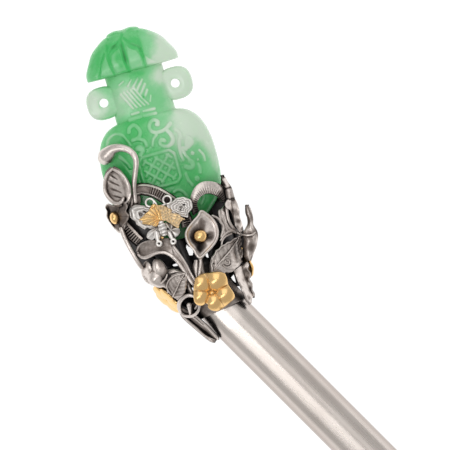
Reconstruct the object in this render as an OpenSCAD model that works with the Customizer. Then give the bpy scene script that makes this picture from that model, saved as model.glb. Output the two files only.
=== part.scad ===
// Binyeo hairpin: a carved jade vase stands in an openwork silver cup of stems, leaves and
// flowers, on the end of a round silver shaft. Gilt blossoms, gilt pistil beads and a butterfly
// are applied to the cup. The pin lies on its back, face up. Millimetres.

/* [Shaft] */
// Outer diameter of the shaft
shaft_d = 9.3; // [8:0.1:10.5]
// Wall of the shaft tube
shaft_wall = 0.9; // [0.6:0.1:1.6]
// Length of the shaft from its seat in the cup to the tip
shaft_len = 150; // [110:1:190]
// Length of the tapered end
taper_len = 26; // [16:1:36]
// Diameter of the blunt tip
tip_d = 6.6; // [5:0.1:7]
// Length of the shaft's seat in the cup
seat_len = 6.4; // [5.5:0.1:8]
// Depth to which the seat is turned down
seat_step = 0.25; // [0.2:0.05:0.4]

/* [Core pin] */
// Diameter of the pin that carries the vase
pin_d = 1.7; // [1.4:0.1:2]
// Depth of the pin in the vase's foot
pin_depth = 5; // [3:0.5:7]
// Length of the plug in the shaft
plug_len = 8; // [5:0.5:12]
// Thickness of the flange on the shaft's end
flange_t = 1; // [0.6:0.1:1.6]

/* [Cup] */
// Angle between the shaft and the vase
bend = 29.3; // [20:0.1:36]
// Radius of the cup's bent centre line
bend_r = 60; // [50:1:72]
// Length of the cup below the middle of its bend
root_len = 13.4; // [12:0.1:15]
// Length of the cup above the middle of its bend
crown_len = 17.6; // [16:0.1:19]
// Depth of the shaft's end in the cup, from the cup's root
seat_depth = 7.2; // [6:0.1:8]
// Room between the vase's side and the cup's wall
side_room = 0.8; // [0.4:0.1:1.5]
// Room between the vase's face and the cup's wall
face_room = 2.5; // [1.8:0.1:3.5]
// How much deeper the cup's belly is than its mouth
belly = 1.1; // [0.5:0.1:2]
// Radius of a main stem
stem_r = 0.55; // [0.45:0.05:0.7]
// Thickness of leaves and petals
leaf_t = 0.8; // [0.6:0.05:1]
// Half the width of the ribbed ribbons
ribbon_half = 0.95; // [0.8:0.05:1.2]
// Wall of the socket ring round the shaft's end
ring_wall = 0.75; // [0.6:0.05:1]
// Length of the socket ring
ring_len = 4.2; // [3:0.1:5]

/* [Vase] */
// Height of the vase's foot above the crossing of the two axes
foot_h = 8; // [7:0.1:10]
// Widest width of the vase's body
vase_w = 23.2; // [20:0.1:26]
// Thickness of the vase's body
vase_t = 7; // [5.5:0.1:8.5]
// Height of the vase's body
body_h = 25.4; // [23:0.1:28]
// Width of the neck
neck_w = 11.9; // [10:0.1:13]
// Height of the neck
neck_h = 9.5; // [8.5:0.1:10.5]
// Thickness of the neck
neck_t = 5.6; // [4.5:0.1:6.5]
// Width of the cap
cap_w = 19.1; // [16:0.1:21]
// Height of the cap
cap_h = 8.7; // [7:0.1:10]
// Thickness of the cap
cap_t = 7.4; // [6:0.1:8.5]
// Height of an ear
ear_h = 6.4; // [5.6:0.1:6.8]
// Reach of an ear from the neck's middle
ear_reach = 10.8; // [9.6:0.1:12]
// Thickness of an ear
ear_t = 3.4; // [2.8:0.1:4]
// Diameter of the hole in an ear
ear_hole_d = 1.8; // [1.4:0.1:2.2]
// Height of the carved relief
relief = 0.35; // [0.2:0.05:0.5]
// Width of a carved line
line_w = 0.6; // [0.4:0.05:0.7]

/* [Ornaments] */
// Radius of the front blossom
front_r = 4; // [3.4:0.1:4.3]
// Radius of the side blossoms
side_r = 3.8; // [3.2:0.1:4]
// Radius of the back blossom
back_r = 3.5; // [3:0.1:3.6]
// Radius of the pistil beads
bead_r = 1.25; // [1:0.05:1.4]
// Span of the butterfly's wings
wing_span = 12.4; // [11:0.1:13.5]
// Thickness of the butterfly's wings
wing_t = 0.7; // [0.6:0.05:0.9]
// Gap between separate pieces
gap = 0.08; // [0.05:0.01:0.12]

/* [Hidden] */
$fn = 48;

silver = [0.74, 0.72, 0.70];
dark_silver = [0.42, 0.41, 0.41];
gilt = [0.86, 0.67, 0.33];
jade = [0.50, 0.76, 0.55];

shaft_r = shaft_d / 2;
seat_r = shaft_r - seat_step;
tip_r = tip_d / 2;

// The cup's centre line: straight along the shaft, an arc round the bend, straight up the head
arc_len = bend_r * bend * PI / 180;
tangent_len = bend_r * tan(bend / 2);
cup_len = root_len + crown_len;
cup_start = arc_len / 2 - root_len;

function clamped(x, low, high) = max(low, min(high, x));
function soft(x) = x * x * (3 - 2 * x);
function unit(v) = v / norm(v);
function line_turn(s) = clamped(s, 0, arc_len) / bend_r * 180 / PI;
function line_ahead(s) = [-cos(line_turn(s)), sin(line_turn(s)), 0];
function line_side(s) = [sin(line_turn(s)), cos(line_turn(s)), 0];
function line_point(s) = let (q = line_turn(s))
    [tangent_len - bend_r * sin(q), bend_r * (1 - cos(q)), 0]
    + (s - clamped(s, 0, arc_len)) * line_ahead(s);

// The cup's skin: an oval tube round that line, narrow at the shaft and wide at the mouth
root_r = shaft_r + gap + stem_r + 0.3;
mouth_half_w = vase_w / 2 + side_room;
mouth_half_d = vase_t / 2 + face_room;
belly_half_d = mouth_half_d + belly;

function half_w(t) = root_r + (mouth_half_w - root_r) * soft(pow(clamped(t, 0, 1), 0.8));
function half_d(t) = let (q = clamped(t, 0, 1))
    q < 0.55
        ? root_r + (belly_half_d - root_r) * sin(90 * q / 0.55)
        : belly_half_d - belly * soft((q - 0.55) / 0.45);

// Point of the skin at the share t of the cup's length and the angle f from the front
function bare(t, f) = let (s = cup_start + cup_len * t)
    line_point(s) + line_side(s) * half_w(t) * sin(f) + [0, 0, half_d(t) * cos(f)];
function ahead(t, f) = unit(bare(t + 0.01, f) - bare(t - 0.01, f));
function outward(t, f) = unit(cross(bare(t, f + 1) - bare(t, f - 1), ahead(t, f)));
function skin(t, f, lift = 0) = bare(t, f) + lift * outward(t, f);
function degree_len(t, f) = norm(bare(t, f + 0.5) - bare(t, f - 0.5));

// A place is [t, f, turn]: y runs from it along the turn, x to the right of that, z out of the skin
function on_skin(place, x, y, z) = skin(
    place[0] + (y * cos(place[2]) - x * sin(place[2])) / cup_len,
    place[1] + (y * sin(place[2]) + x * cos(place[2])) / degree_len(place[0], place[1]),
    z);

// Frame of a flat ornament that is tangent to the skin at a place, raised by lift
function seat(place, lift) =
    let (
        o = skin(place[0], place[1], lift),
        z = outward(place[0], place[1]),
        up = ahead(place[0], place[1]),
        right = cross(up, z),
        x = right * cos(place[2]) - up * sin(place[2]),
        y = cross(z, x)
    )
    [[x[0], y[0], z[0], o[0]], [x[1], y[1], z[1], o[1]], [x[2], y[2], z[2], o[2]], [0, 0, 0, 1]];

// Rows between the given rows, on a smooth curve through them
function between(a, b, c, d, q) =
    b + 0.5 * q * (c - a + q * (2 * a - 5 * b + 4 * c - d + q * (3 * (b - c) + d - a)));
function smoothed(rows, steps) = let (n = len(rows) - 1) [
    for (i = [0:n - 1], k = [0:steps - 1])
        between(rows[max(i - 1, 0)], rows[i], rows[i + 1], rows[min(i + 2, n)], k / steps),
    rows[n]
];

// Solid through a row of rings of points; a ring runs clockwise, seen from before the first one
module loft(rings) {
    last = len(rings) - 1;
    sides = len(rings[0]);
    polyhedron(
        points = [for (ring = rings) each ring],
        faces = concat(
            [[for (j = [0:sides - 1]) j]],
            [[for (j = [sides - 1:-1:0]) last * sides + j]],
            [for (i = [0:last - 1], j = [0:sides - 1]) let (k = (j + 1) % sides)
                [i * sides + j, (i + 1) * sides + j, (i + 1) * sides + k, i * sides + k]]),
        convexity = 8);
}

// Bar swept over the skin; rows are [t, f, lift, half width, half thickness]
module strand(rows, steps) {
    sides = 6;
    path = smoothed(rows, steps);
    last = len(path) - 1;
    spot = [for (p = path) skin(p[0], p[1], p[2])];
    loft([for (i = [0:last]) let (
            t = unit(spot[min(i + 1, last)] - spot[max(i - 1, 0)]),
            up = outward(path[i][0], path[i][1]),
            z = unit(up - t * (up * t)),
            x = cross(z, t)
        ) [for (j = [0:sides - 1]) let (q = 360 * (j + 0.5) / sides)
            spot[i] + x * path[i][3] * cos(q) + z * path[i][4] * sin(q)]]);
}

// Stems spring from the socket ring: their first rows, at the angle f, run foot_r off the axis
foot_r = shaft_r + 2 * gap + 1.2 * stem_r;
function foot_lift(t, f, r) = let (
        p = bare(t, f),
        n = outward(t, f),
        a = n[1] * n[1] + n[2] * n[2],
        b = p[1] * n[1] + p[2] * n[2],
        c = p[1] * p[1] + p[2] * p[2] - r * r
    )
    (sqrt(b * b - a * c) - b) / a;
function rooted(f, rows) = concat(
    [
        [0.205, f, foot_lift(0.205, f, foot_r) / stem_r, 1.1],
        [0.26, f, foot_lift(0.26, f, foot_r + 0.5 * stem_r) / stem_r, 1.1]
    ],
    rows);

// Round stem; rows are [t, f, lift, radius], lift and radius as shares of stem_r
module stem(rows, steps = 2) {
    strand([for (r = rows) [r[0], r[1], r[2] * stem_r, r[3] * stem_r, r[3] * stem_r]], steps);
}

// Flat ribbon; rows are [t, f, lift, half width], as shares of stem_r and of ribbon_half
module ribbon(rows) {
    strand([for (r = rows) [r[0], r[1], r[2] * stem_r, r[3] * ribbon_half, stem_r]], 2);
}

// Leaf from a base to a tip on the skin; fold raises its edges and rise its tip
module leaf(base, tip, width, lift, fold, rise) {
    rows = 5;
    mid = (base + tip) / 2;
    turn = atan2((tip[1] - base[1]) * degree_len(mid[0], mid[1]), (tip[0] - base[0]) * cup_len);
    function spread(u) = max(0.12, pow(sin(180 * pow(clamped(u, 0.01, 0.99), 0.8)), 0.7));
    function spot(u, v, down) = let (p = base + (tip - base) * u)
        on_skin([p[0], p[1], turn], v * width / 2 * spread(u), 0,
            lift + fold * v * v * spread(u) + rise * u * u - down);
    loft([for (i = [0:rows]) concat(
        [for (v = [-1:0.5:1]) spot(i / rows, v, 0)],
        [for (v = [1:-0.5:-1]) spot(i / rows, v, leaf_t)])]);
}

// Calla spathe, a funnel with a pointed lip ahead and a rolled rim
function funnel(q, depth) = -depth * pow(1 - q, 1.6) - 0.12 * depth * pow(q, 8);
module calla(tip_reach, side_reach, depth) {
    spokes = 14;
    function reach(a) = side_reach + (tip_reach - side_reach)
        * (sin(a) > 0 ? pow(sin(a), 4) : 0.5 * pow(-sin(a), 3));
    function ring(q, down) = [for (k = [0:spokes - 1]) let (a = -360 * (k + 0.5) / spokes)
        [reach(a) * q * cos(a), reach(a) * q * sin(a), funnel(q, depth) - down]];
    loft(concat(
        [for (q = [0.14, 0.45, 0.8, 1]) ring(q, 0)],
        [for (q = [1, 0.8, 0.45, 0.14]) ring(q, leaf_t)]));
}

// Height at which a bead rests in a calla's throat
function bead_rise(side_reach, depth) = gap + max([for (q = [0:0.05:1])
    if (q * side_reach < bead_r) funnel(q, depth) + sqrt(bead_r * bead_r - pow(q * side_reach, 2))]);

// Blossom of five cupped petals round a knob, flat below: rings of [share of the reach, share of the height]
petal_share = 0.3;
petal_count = 5;
blossom_rows = [[0.1, 0.4], [0.34, 0.4], [0.66, 1], [0.9, 1], [1, 0.5]];
knob_share = 0.17;
module blossom(r) {
    spokes = 4 * petal_count;
    function reach(a) = r * (0.84 + 0.16 * pow(abs(cos(petal_count / 2 * a)), 0.6));
    function rise(row, a) = petal_share * r * row[1]
        * (row[0] > 0.5 ? 0.75 + 0.25 * cos(petal_count * a) : 1);
    function ring(q, row) = [for (k = [0:spokes - 1]) let (a = -360 * k / spokes)
        [reach(a) * q * cos(a), reach(a) * q * sin(a), row ? rise(row, a) : 0]];
    loft(concat([for (row = blossom_rows) ring(row[0], row)], [ring(1, undef)]));
    translate([0, 0, 0.1 * petal_share * r]) cylinder(r = knob_share * r, h = 0.9 * petal_share * r, $fn = 10);
}

// Places of the ornaments on the skin: [t, f, turn]
front_place = [0.29, -1, 8];
left_place = [0.39, -86, 20];
right_place = [0.33, 112, 0];
back_place = [0.83, 174, 0];
butterfly_place = [0.84, -14, 5];
front_calla_place = [0.66, 20, 14];
left_calla_place = [0.93, -68, 10];
right_calla_place = [0.66, 74, 12];

// Size of the callas: [reach of the lip, reach of the sides, depth]
front_calla = [4.3, 3.1, 1.5];
left_calla = [3, 2.2, 0.9];
right_calla = [3.6, 2.2, 1.2];

// An ornament's base clears the stems that it is set on
ornament_lift = stem_r + 4 * gap;
calla_lift = leaf_t + stem_r;

// The shaft is turned: a tube, open at the cup and blind before the domed tip
cup_root_x = tangent_len - cup_start;
shaft_x = cup_root_x - seat_depth;
parallel_len = shaft_len - taper_len;
parallel_end_x = shaft_x + parallel_len;
tip_x = shaft_x + shaft_len;

module shaft() color(silver) translate([shaft_x, 0, 0]) rotate([0, 90, 0]) difference() {
    union() {
        cylinder(r = seat_r, h = parallel_len);
        translate([0, 0, seat_len]) cylinder(r = shaft_r, h = parallel_len - seat_len);
        translate([0, 0, parallel_len]) cylinder(r1 = shaft_r, r2 = tip_r, h = taper_len - tip_r);
        translate([0, 0, shaft_len - tip_r]) intersection() {
            sphere(r = tip_r);
            translate([0, 0, tip_r / 2]) cube([2 * shaft_d, 2 * shaft_d, tip_r], center = true);
        }
    }
    translate([0, 0, -1]) cylinder(r = shaft_r - shaft_wall, h = parallel_len + 1);
}

module rod(start, end, d) {
    way = end - start;
    translate(start) rotate([0, acos(way[2] / norm(way)), atan2(way[1], way[0])])
        cylinder(d = d, h = norm(way));
}

// The core pin: a plug and flange on the shaft's end, and a slanting pin up into the vase's foot
head_up = [-cos(bend), sin(bend), 0];
head_right = [sin(bend), cos(bend), 0];
flange_x = shaft_x - gap;
pin_start = [flange_x - flange_t / 2, -shaft_r * 0.45, 0];
pin_end = head_up * (foot_h + pin_depth) - head_right * 1;

module core_pin() color(dark_silver) {
    plug_r = shaft_r - shaft_wall - gap;
    translate([flange_x - gap, 0, 0]) rotate([0, 90, 0]) cylinder(r = plug_r, h = plug_len);
    translate([flange_x, 0, 0]) rotate([0, -90, 0]) cylinder(r = seat_r - gap, h = flange_t);
    rod(pin_start, pin_end, pin_d);
}

// The vase stands in its own frame: x across, y up the head, z out of its face
body_top = foot_h + body_h;
neck_top = body_top + neck_h;

// Outlines from the bottom up: [share of the height, of the half width, of the half thickness]
body_rows = [
    [0.00, 0.19, 0.55], [0.06, 0.36, 0.72], [0.12, 0.55, 0.84], [0.18, 0.69, 0.91], [0.24, 0.81, 0.96],
    [0.31, 0.91, 0.99], [0.40, 0.965, 1.00], [0.60, 1.00, 1.00], [0.72, 0.99, 0.99], [0.81, 0.945, 0.96],
    [0.89, 0.865, 0.91], [0.95, 0.76, 0.85], [0.98, 0.66, 0.80], [1.00, 0.56, 0.77]
];
neck_rows = [
    [-0.06, 1.04, 0.92], [0.10, 1.04, 0.92], [0.15, 0.98, 0.97], [0.90, 0.98, 0.97], [1.03, 0.98, 0.97]
];
cap_rows = [
    [0.00, 1.00, 0.90], [0.16, 0.975, 1.00], [0.38, 0.89, 0.98], [0.58, 0.77, 0.92], [0.76, 0.60, 0.82],
    [0.89, 0.42, 0.68], [0.97, 0.27, 0.52], [1.00, 0.20, 0.40]
];

// Stack of oval sections with full sides
module stone(rows, base, height, width, thickness) {
    points = 26;
    fullness = 2.6;
    function oval(a) = sign(a) * pow(abs(a), 2 / fullness);
    loft([for (r = rows) [for (k = [0:points - 1]) let (a = -360 * (k + 0.5) / points)
        [width / 2 * r[1] * oval(cos(a)), base + height * r[0], thickness / 2 * r[2] * oval(sin(a))]]]);
}

// Carved lines stand up from a stone's face by the relief
module carving(rows, base, height, width, thickness) intersection() {
    stone(rows, base, height, width, thickness + 2 * relief);
    linear_extrude(thickness) children();
}

module bar(length, turn = 0) rotate(turn) square([length, line_w], center = true);

// Scroll: a line that curls in from the radius r
module scroll(r, start, sweep) {
    steps = 9;
    function spot(k, out) = let (q = k / steps, a = start + sweep * q, d = r * (1 - 0.45 * q) + out)
        [d * cos(a), d * sin(a)];
    polygon(concat(
        [for (k = [0:steps]) spot(k, line_w / 2)],
        [for (k = [steps:-1:0]) spot(k, -line_w / 2)]));
}

// Scrolls of the body: [x and y as shares of half width and height, radius as a share of width, start, sweep]
scroll_rows = [
    [-0.30, 0.87, 0.062, 210, -280], [0.16, 0.87, 0.062, -30, 280], [-0.42, 0.70, 0.062, 30, 290],
    [0.30, 0.72, 0.070, 240, -290], [0.58, 0.76, 0.062, 150, -280], [0.72, 0.60, 0.055, -120, 280],
    [0.62, 0.42, 0.055, 100, 280], [-0.70, 0.58, 0.055, -60, -280], [0.04, 0.75, 0.030, 0, 300]
];
medallion_y = foot_h + 0.555 * body_h;
medallion_w = 0.34 * vase_w;
medallion_h = 0.24 * body_h;

module body_pattern() {
    for (r = scroll_rows)
        translate([r[0] * vase_w / 2, foot_h + r[1] * body_h]) scroll(r[2] * vase_w, r[3], r[4]);
    translate([-0.04 * vase_w, medallion_y]) {
        difference() {
            square([medallion_w, medallion_h], center = true);
            square([medallion_w - 2 * line_w, medallion_h - 2 * line_w], center = true);
        }
        for (side = [-1, 1]) {
            translate([side * medallion_w * 0.22, 0]) bar(medallion_h * 0.5, 90);
            translate([0, side * medallion_h * 0.22]) bar(medallion_w * 0.22);
            translate([0, side * medallion_h * 0.66]) bar(medallion_w * 0.66);
        }
    }
}

module neck_pattern() {
    translate([0, body_top + 0.17 * neck_h]) bar(neck_w * 0.8);
    for (k = [0:4]) {
        translate([neck_w * (-0.26 + 0.075 * k), body_top + neck_h * (0.5 - 0.03 * k)])
            bar(neck_h * 0.42, -50);
        translate([neck_w * (0.05 + 0.02 * k), body_top + neck_h * (0.84 - 0.085 * k)])
            bar(neck_w * 0.2, 40);
    }
}

// Petals of the cap: pointed outlines side by side
module petal_line(w, h) {
    function side(q, out) = [(w / 2 + out) * pow(cos(90 * q), 0.8), (h + out) * q];
    function outline(out) = concat(
        [for (q = [0:0.125:1]) side(q, out)],
        [for (q = [0.875:-0.125:0]) let (p = side(q, out)) [-p[0], p[1]]]);
    difference() {
        polygon(outline(0));
        polygon(outline(-line_w));
    }
}

module cap_pattern() {
    for (x = [-0.30, -0.04, 0.22])
        translate([x * cap_w, neck_top + 0.04 * cap_h]) petal_line(cap_w * 0.235, cap_h * 0.66);
}

ear_y = body_top + neck_h * 0.48;
ear_tip_rx = ear_h * 0.42;

module ear(side) {
    lobe_x = ear_reach - ear_tip_rx;
    translate([0, ear_y, -ear_t / 2]) linear_extrude(ear_t) difference() {
        union() {
            translate([side * lobe_x, 0]) circle(d = ear_h);
            translate([side * lobe_x / 2, 0]) square([lobe_x, ear_h], center = true);
        }
        translate([side * ear_reach * 0.69, 0]) circle(d = ear_hole_d);
    }
}

module on_head() {
    rotate([0, 0, 90 - bend]) children();
}

module jade_vase() color(jade) difference() {
    on_head() {
        stone(body_rows, foot_h, body_h, vase_w, vase_t);
        stone(neck_rows, body_top, neck_h, neck_w, neck_t);
        stone(cap_rows, neck_top, cap_h, cap_w, cap_t);
        carving(body_rows, foot_h, body_h, vase_w, vase_t) body_pattern();
        carving(neck_rows, body_top, neck_h, neck_w, neck_t) neck_pattern();
        carving(cap_rows, neck_top, cap_h, cap_w, cap_t) cap_pattern();
        for (side = [-1, 1]) ear(side);
    }
    rod(pin_start, pin_end + unit(pin_end - pin_start) * gap, pin_d + 2 * gap);
}

// Round stems of the cup: rows of [t, f, lift, radius]
trumpet_stem = rooted(-8, [
    [0.33, -10, 0, 1], [0.41, -12, 0.3, 1.05], [0.52, -14, 0.9, 1.1], [0.60, -18, 1.4, 1.1],
    [0.655, -27, 1.6, 1.2], [0.67, -38, 1.6, 1.3], [0.675, -49, 1.4, 1.3], [0.73, -58, 0.8, 1.2]
]);
calla_stem = rooted(4, [[0.33, 1, 0, 1], [0.41, -1, 0.2, 1], [0.48, 4, 0.2, 1.1], [0.56, 10, 0, 1.4]]);
tendril = [
    [0.90, -46, 0, 1.1], [0.97, -37, 0.4, 1.1], [1.03, -34, 1, 1.05], [1.10, -31, 1.2, 1], [1.17, -27, 1.2, 0.95],
    [1.24, -22, 1, 0.95], [1.31, -22, 1, 1], [1.36, -28, 1, 1.1], [1.385, -38, 1, 1.25], [1.38, -50, 1, 1.45],
    [1.35, -58, 1, 1.9], [1.31, -62, 1, 2.3], [1.275, -61, 1, 1.6]
];
side_stems = [
    rooted(38, [[0.36, 40, 0, 1], [0.54, 40, 0, 0.9], [0.64, 47, 0.4, 0.9], [0.75, 41, 0.4, 0.8],
        [0.80, 34, 0, 0.8]]),
    [[0.54, 40, 0, 0.9], [0.575, 52, 0.5, 0.9], [0.57, 66, 0.5, 0.9], [0.52, 80, 0, 1]],
    [[0.55, 76, 0, 0.9], [0.63, 57, 0.6, 0.8], [0.76, 58, 0.6, 0.8], [0.86, 68, 0, 0.8]],
    rooted(84, [[0.36, 86, 0, 1.1], [0.55, 84, 0, 1.1], [0.75, 88, 0, 1.1], [0.94, 84, 0, 1.1]]),
    rooted(-88, [[0.36, -88, 0, 1.1], [0.48, -80, 0, 1.1], [0.62, -75, 0, 1.1], [0.80, -75, 0, 1.1],
        [0.92, -68, 0, 1]]),
    rooted(-52, [[0.34, -60, 0, 1], [0.42, -58, 0, 1], [0.50, -50, 0, 1.1]])
];
back_stems = [for (f = [118, 152, 172, 190, 216, 246])
    rooted(f, [[0.34, f, 0, 1.1], [0.64, f, 0, 1.1], [0.93, f, 0, 1.1]])];
back_band = [for (k = [0:8]) [0.93 + 0.02 * cos(45 * k), 84 + 26 * k, 0, 1.2]];

// Ribbed ribbons: rows of [t, f, lift, half width]
front_ribbon = [
    [0.90, -46, 0, 0.8], [0.98, -38, 0, 0.9], [1.05, -27, 0, 1], [1.03, -12, 0, 1], [0.98, -3, 0, 1],
    [0.93, 4, 0, 1], [0.87, 9, -0.1, 1], [0.80, 12, -0.1, 0.9], [0.74, 13, 0, 0.8]
];
arch_ribbon = [
    [0.74, 15, 0, 0.8], [0.80, 21, 0.4, 1], [0.87, 20, 0.8, 1], [0.94, 24, 1, 1], [0.975, 34, 1, 1],
    [0.96, 47, 1, 1], [0.92, 60, 0.8, 1], [0.86, 70, 0.2, 0.9], [0.80, 70, 0, 0.8]
];
left_ribbon = [
    [0.90, -66, 0.4, 0.8], [0.87, -62, 0.6, 1], [0.80, -57, 0.6, 1], [0.74, -51, 0.6, 0.9], [0.70, -46, 0.4, 0.7]
];

// Leaves: [base, tip, width, lift, fold, rise]
leaf_rows = [
    [[0.95, -50], [1.24, -51], 4.8, 0.3, 1.3, 0.5],
    [[0.34, -62], [0.48, -18], 3.6, 0.8, 0.2, 0.4],
    [[0.54, 90], [0.40, 17], 5.8, 0.8, 0.2, 0.3],
    [[0.38, -83], [0.03, -68], 2.4, 0.4, 0.3, 0.1],
    [[0.36, 84], [0.07, 64], 3.6, 0.6, -0.4, 0.1],
    [[0.78, 88], [1.03, 74], 2.6, 0.4, 0.3, 0.1],
    [[0.53, -15], [0.74, -58], 4, 0.7, 0.9, 0.4],
    [[0.40, 0], [0.54, -1], 2.2, 0.2, 0.3, 0],
    [[0.50, -10], [0.86, -16], 2.4, 0.2, 0.4, 0],
    [[0.84, 88], [0.72, 66], 3, 0.4, -0.4, 0.2],
    [[0.34, 140], [0.62, 144], 5, 0.2, 0, 0],
    [[0.28, 228], [0.62, 226], 6, 0.2, 0, 0],
    [[0.64, 170], [0.92, 176], 6.4, 0.2, 0, 0],
    [[0.56, 236], [0.92, 228], 7, 0.2, 0, 0],
    [[0.54, 122], [0.92, 132], 7, 0.2, 0, 0],
    [[0.62, 200], [0.92, 203], 5, 0.2, 0, 0]
];

// A pad of solder under an ornament, from inside the skin up to the ornament's base
module pad(place, r, top) {
    multmatrix(seat(place, 0)) hull() {
        translate([0, 0, -0.6 * stem_r]) cylinder(r = r, h = 0.1, $fn = 8);
        translate([0, 0, top - 0.1]) cylinder(r = 0.8 * r, h = 0.1, $fn = 8);
    }
}

// Bud of overlapping petals on a calyx
module bud(place, length, r) {
    multmatrix(seat(place, 0.9 * r)) {
        for (side = [-1, 1])
            hull() {
                translate([side * 0.42 * r, 0, 0]) sphere(r = 0.72 * r, $fn = 10);
                translate([side * 0.3 * r, length * 0.48, -0.1 * r]) sphere(r = 0.22 * r, $fn = 8);
            }
        hull() {
            translate([0, -0.2 * length, -0.1 * r]) sphere(r = 0.85 * r, $fn = 10);
            translate([0, -0.52 * length, -0.5 * r]) sphere(r = 0.35 * r, $fn = 8);
        }
    }
}

// Lily bud that stands off the cup's right side: rows of [t, f, lift, radius]
lily_rows = [
    [0.38, 82, 0, 1.6], [0.44, 83, 2, 2.6], [0.52, 86, 3.2, 3.1], [0.60, 87, 3.9, 2.4], [0.66, 87, 4.2, 1.4],
    [0.72, 88, 4.2, 1.5], [0.77, 88, 4, 1]
];

// Bell flower: a ring round a pistil
bell_place = [0.29, -44, 150];
module bell(r) {
    steps = 12;
    strand([for (k = [0:steps]) let (a = 360 * k / steps)
        [bell_place[0] + r * sin(a) / cup_len,
            bell_place[1] + r * cos(a) / degree_len(bell_place[0], bell_place[1]),
            0.8 * stem_r, 0.8 * stem_r, 0.9 * stem_r]], 1);
    multmatrix(seat(bell_place, 0)) hull() {
        translate([0, r, 0]) sphere(r = stem_r, $fn = 8);
        translate([0, -0.2 * r, 0.6]) sphere(r = 1.2 * stem_r, $fn = 8);
    }
}

module socket_ring() {
    translate([shaft_x + ring_len / 3, 0, 0]) rotate([0, -90, 0]) difference() {
        cylinder(r = seat_r + gap + ring_wall, h = ring_len, $fn = 36);
        translate([0, 0, -1]) cylinder(r = seat_r + gap, h = ring_len + 2, $fn = 36);
    }
}

// The back blossom lies level with the floor, clear of the deepest stem over it
back_base = let (o = bare(back_place[0], back_place[1]))
    [o[0], o[1], -half_d(back_place[0] - back_r / cup_len) - ornament_lift];
back_depth = -back_base[2] + petal_share * back_r;
rest_pitch = atan((back_depth - shaft_r) / (parallel_end_x - back_base[0]));
rest_lift = parallel_end_x * sin(rest_pitch) + shaft_r * cos(rest_pitch);

module on_back() {
    translate(back_base) rotate([180, -rest_pitch, 0]) children();
}

module back_pad() hull() {
    on_back() translate([0, 0, -gap - 0.1]) cylinder(r = 1.4, h = 0.1, $fn = 8);
    on_back() translate([0, 0, -2 * stem_r - gap]) cylinder(r = 1.8, h = 0.1, $fn = 8);
}

module openwork_cup() color(dark_silver) {
    socket_ring();
    stem(trumpet_stem);
    stem(calla_stem);
    stem(tendril);
    stem(back_band);
    stem(lily_rows);
    for (rows = side_stems) stem(rows);
    for (rows = back_stems) stem(rows, 1);
    ribbon(front_ribbon);
    ribbon(arch_ribbon);
    ribbon(left_ribbon);
    for (r = leaf_rows) leaf(r[0], r[1], r[2], r[3], r[4], r[5]);
    multmatrix(seat(front_calla_place, calla_lift)) calla(front_calla[0], front_calla[1], front_calla[2]);
    multmatrix(seat(left_calla_place, calla_lift)) calla(left_calla[0], left_calla[1], left_calla[2]);
    multmatrix(seat(right_calla_place, calla_lift)) calla(right_calla[0], right_calla[1], right_calla[2]);
    bud([0.56, -50, 15], 6.4, 2.3);
    bell(2);
    pad(front_place, 1.6, ornament_lift - gap);
    pad(left_place, 1.6, ornament_lift - gap);
    pad(right_place, 1.6, ornament_lift - gap);
    back_pad();
    pad(butterfly_place, 1, ornament_lift - 2 * gap);
}

// Butterfly laid over the cup's face: wings follow the skin, the body lies along them
module wing(root, tip, chord) {
    rows = 4;
    way = unit(tip - root) * sign(tip[0]);
    across = [-way[1], way[0]];
    function spread(u) = 0.3 + 0.7 * sin(180 * pow(0.85 * u, 1.1));
    function spot(u, v, z) = let (p = root + (tip - root) * u + across * (v * chord / 2 * spread(u)))
        on_skin(butterfly_place, p[0], p[1], ornament_lift + z);
    side = sign(tip[0]);
    loft([for (i = [0:rows]) concat(
        [for (v = [1:-0.5:-1]) spot(i / rows, v * side, wing_t)],
        [for (v = [-1:0.5:1]) spot(i / rows, v * side, 0)])]);
}

module lump(a, b, ra, rb) hull() {
    translate(a) sphere(r = ra, $fn = 8);
    translate(b) sphere(r = rb, $fn = 8);
}

// The butterfly's sizes are shares of half its span; a wing is [root, tip, chord]
half_span = wing_span / 2;
wing_rows = [
    [[0.03, 0.13], [1, 0.31], 0.71], [[0.03, -0.06], [0.55, -0.39], 0.48], [[0.1, -0.23], [0.27, -0.81], 0.21]
];

function wing_spot(side, share) = half_span * [side * share[0], share[1]];

module antenna(side) {
    steps = 4;
    curl = 0.137 * half_span;
    wire = 0.048 * half_span;
    function spot(k) = k == 0 ? [side * 0.05 * half_span, 0.39 * half_span, wing_t] : let (a = 245 - 78 * k)
        [side * (0.258 * half_span + curl * cos(a)), 0.63 * half_span + curl * sin(a), 0.9 * wing_t];
    for (k = [0:steps - 1]) hull() {
        translate(spot(k)) sphere(r = wire, $fn = 6);
        translate(spot(k + 1)) sphere(r = wire, $fn = 6);
    }
}

module butterfly() color(silver) {
    waist = [0, 0.03 * half_span, wing_t];
    for (side = [-1, 1], w = wing_rows)
        wing(wing_spot(side, w[0]), wing_spot(side, w[1]), half_span * w[2]);
    multmatrix(seat(butterfly_place, ornament_lift)) {
        lump([0, -0.48 * half_span, wing_t], waist, 0.153 * half_span, 0.129 * half_span);
        lump(waist, [0, 0.42 * half_span, wing_t], 0.129 * half_span, 0.113 * half_span);
        for (side = [-1, 1]) antenna(side);
    }
}

module blossom_on(place, r) color(gilt) multmatrix(seat(place, ornament_lift)) blossom(r);

module bead_in(place, flower) color(gilt)
    multmatrix(seat(place, calla_lift)) translate([0, 0, bead_rise(flower[1], flower[2])]) sphere(r = bead_r);

// The origin is under the middle of the pin's box
low_x = min([for (r = cap_rows) head_up[0] * (neck_top + r[0] * cap_h) - head_right[0] * r[1] * cap_w / 2]);
high_y = max([for (r = cap_rows) head_up[1] * (neck_top + r[0] * cap_h) + head_right[1] * r[1] * cap_w / 2]);
low_y = skin(left_place[0], left_place[1], ornament_lift + petal_share * side_r)[1] - 0.9;

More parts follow.
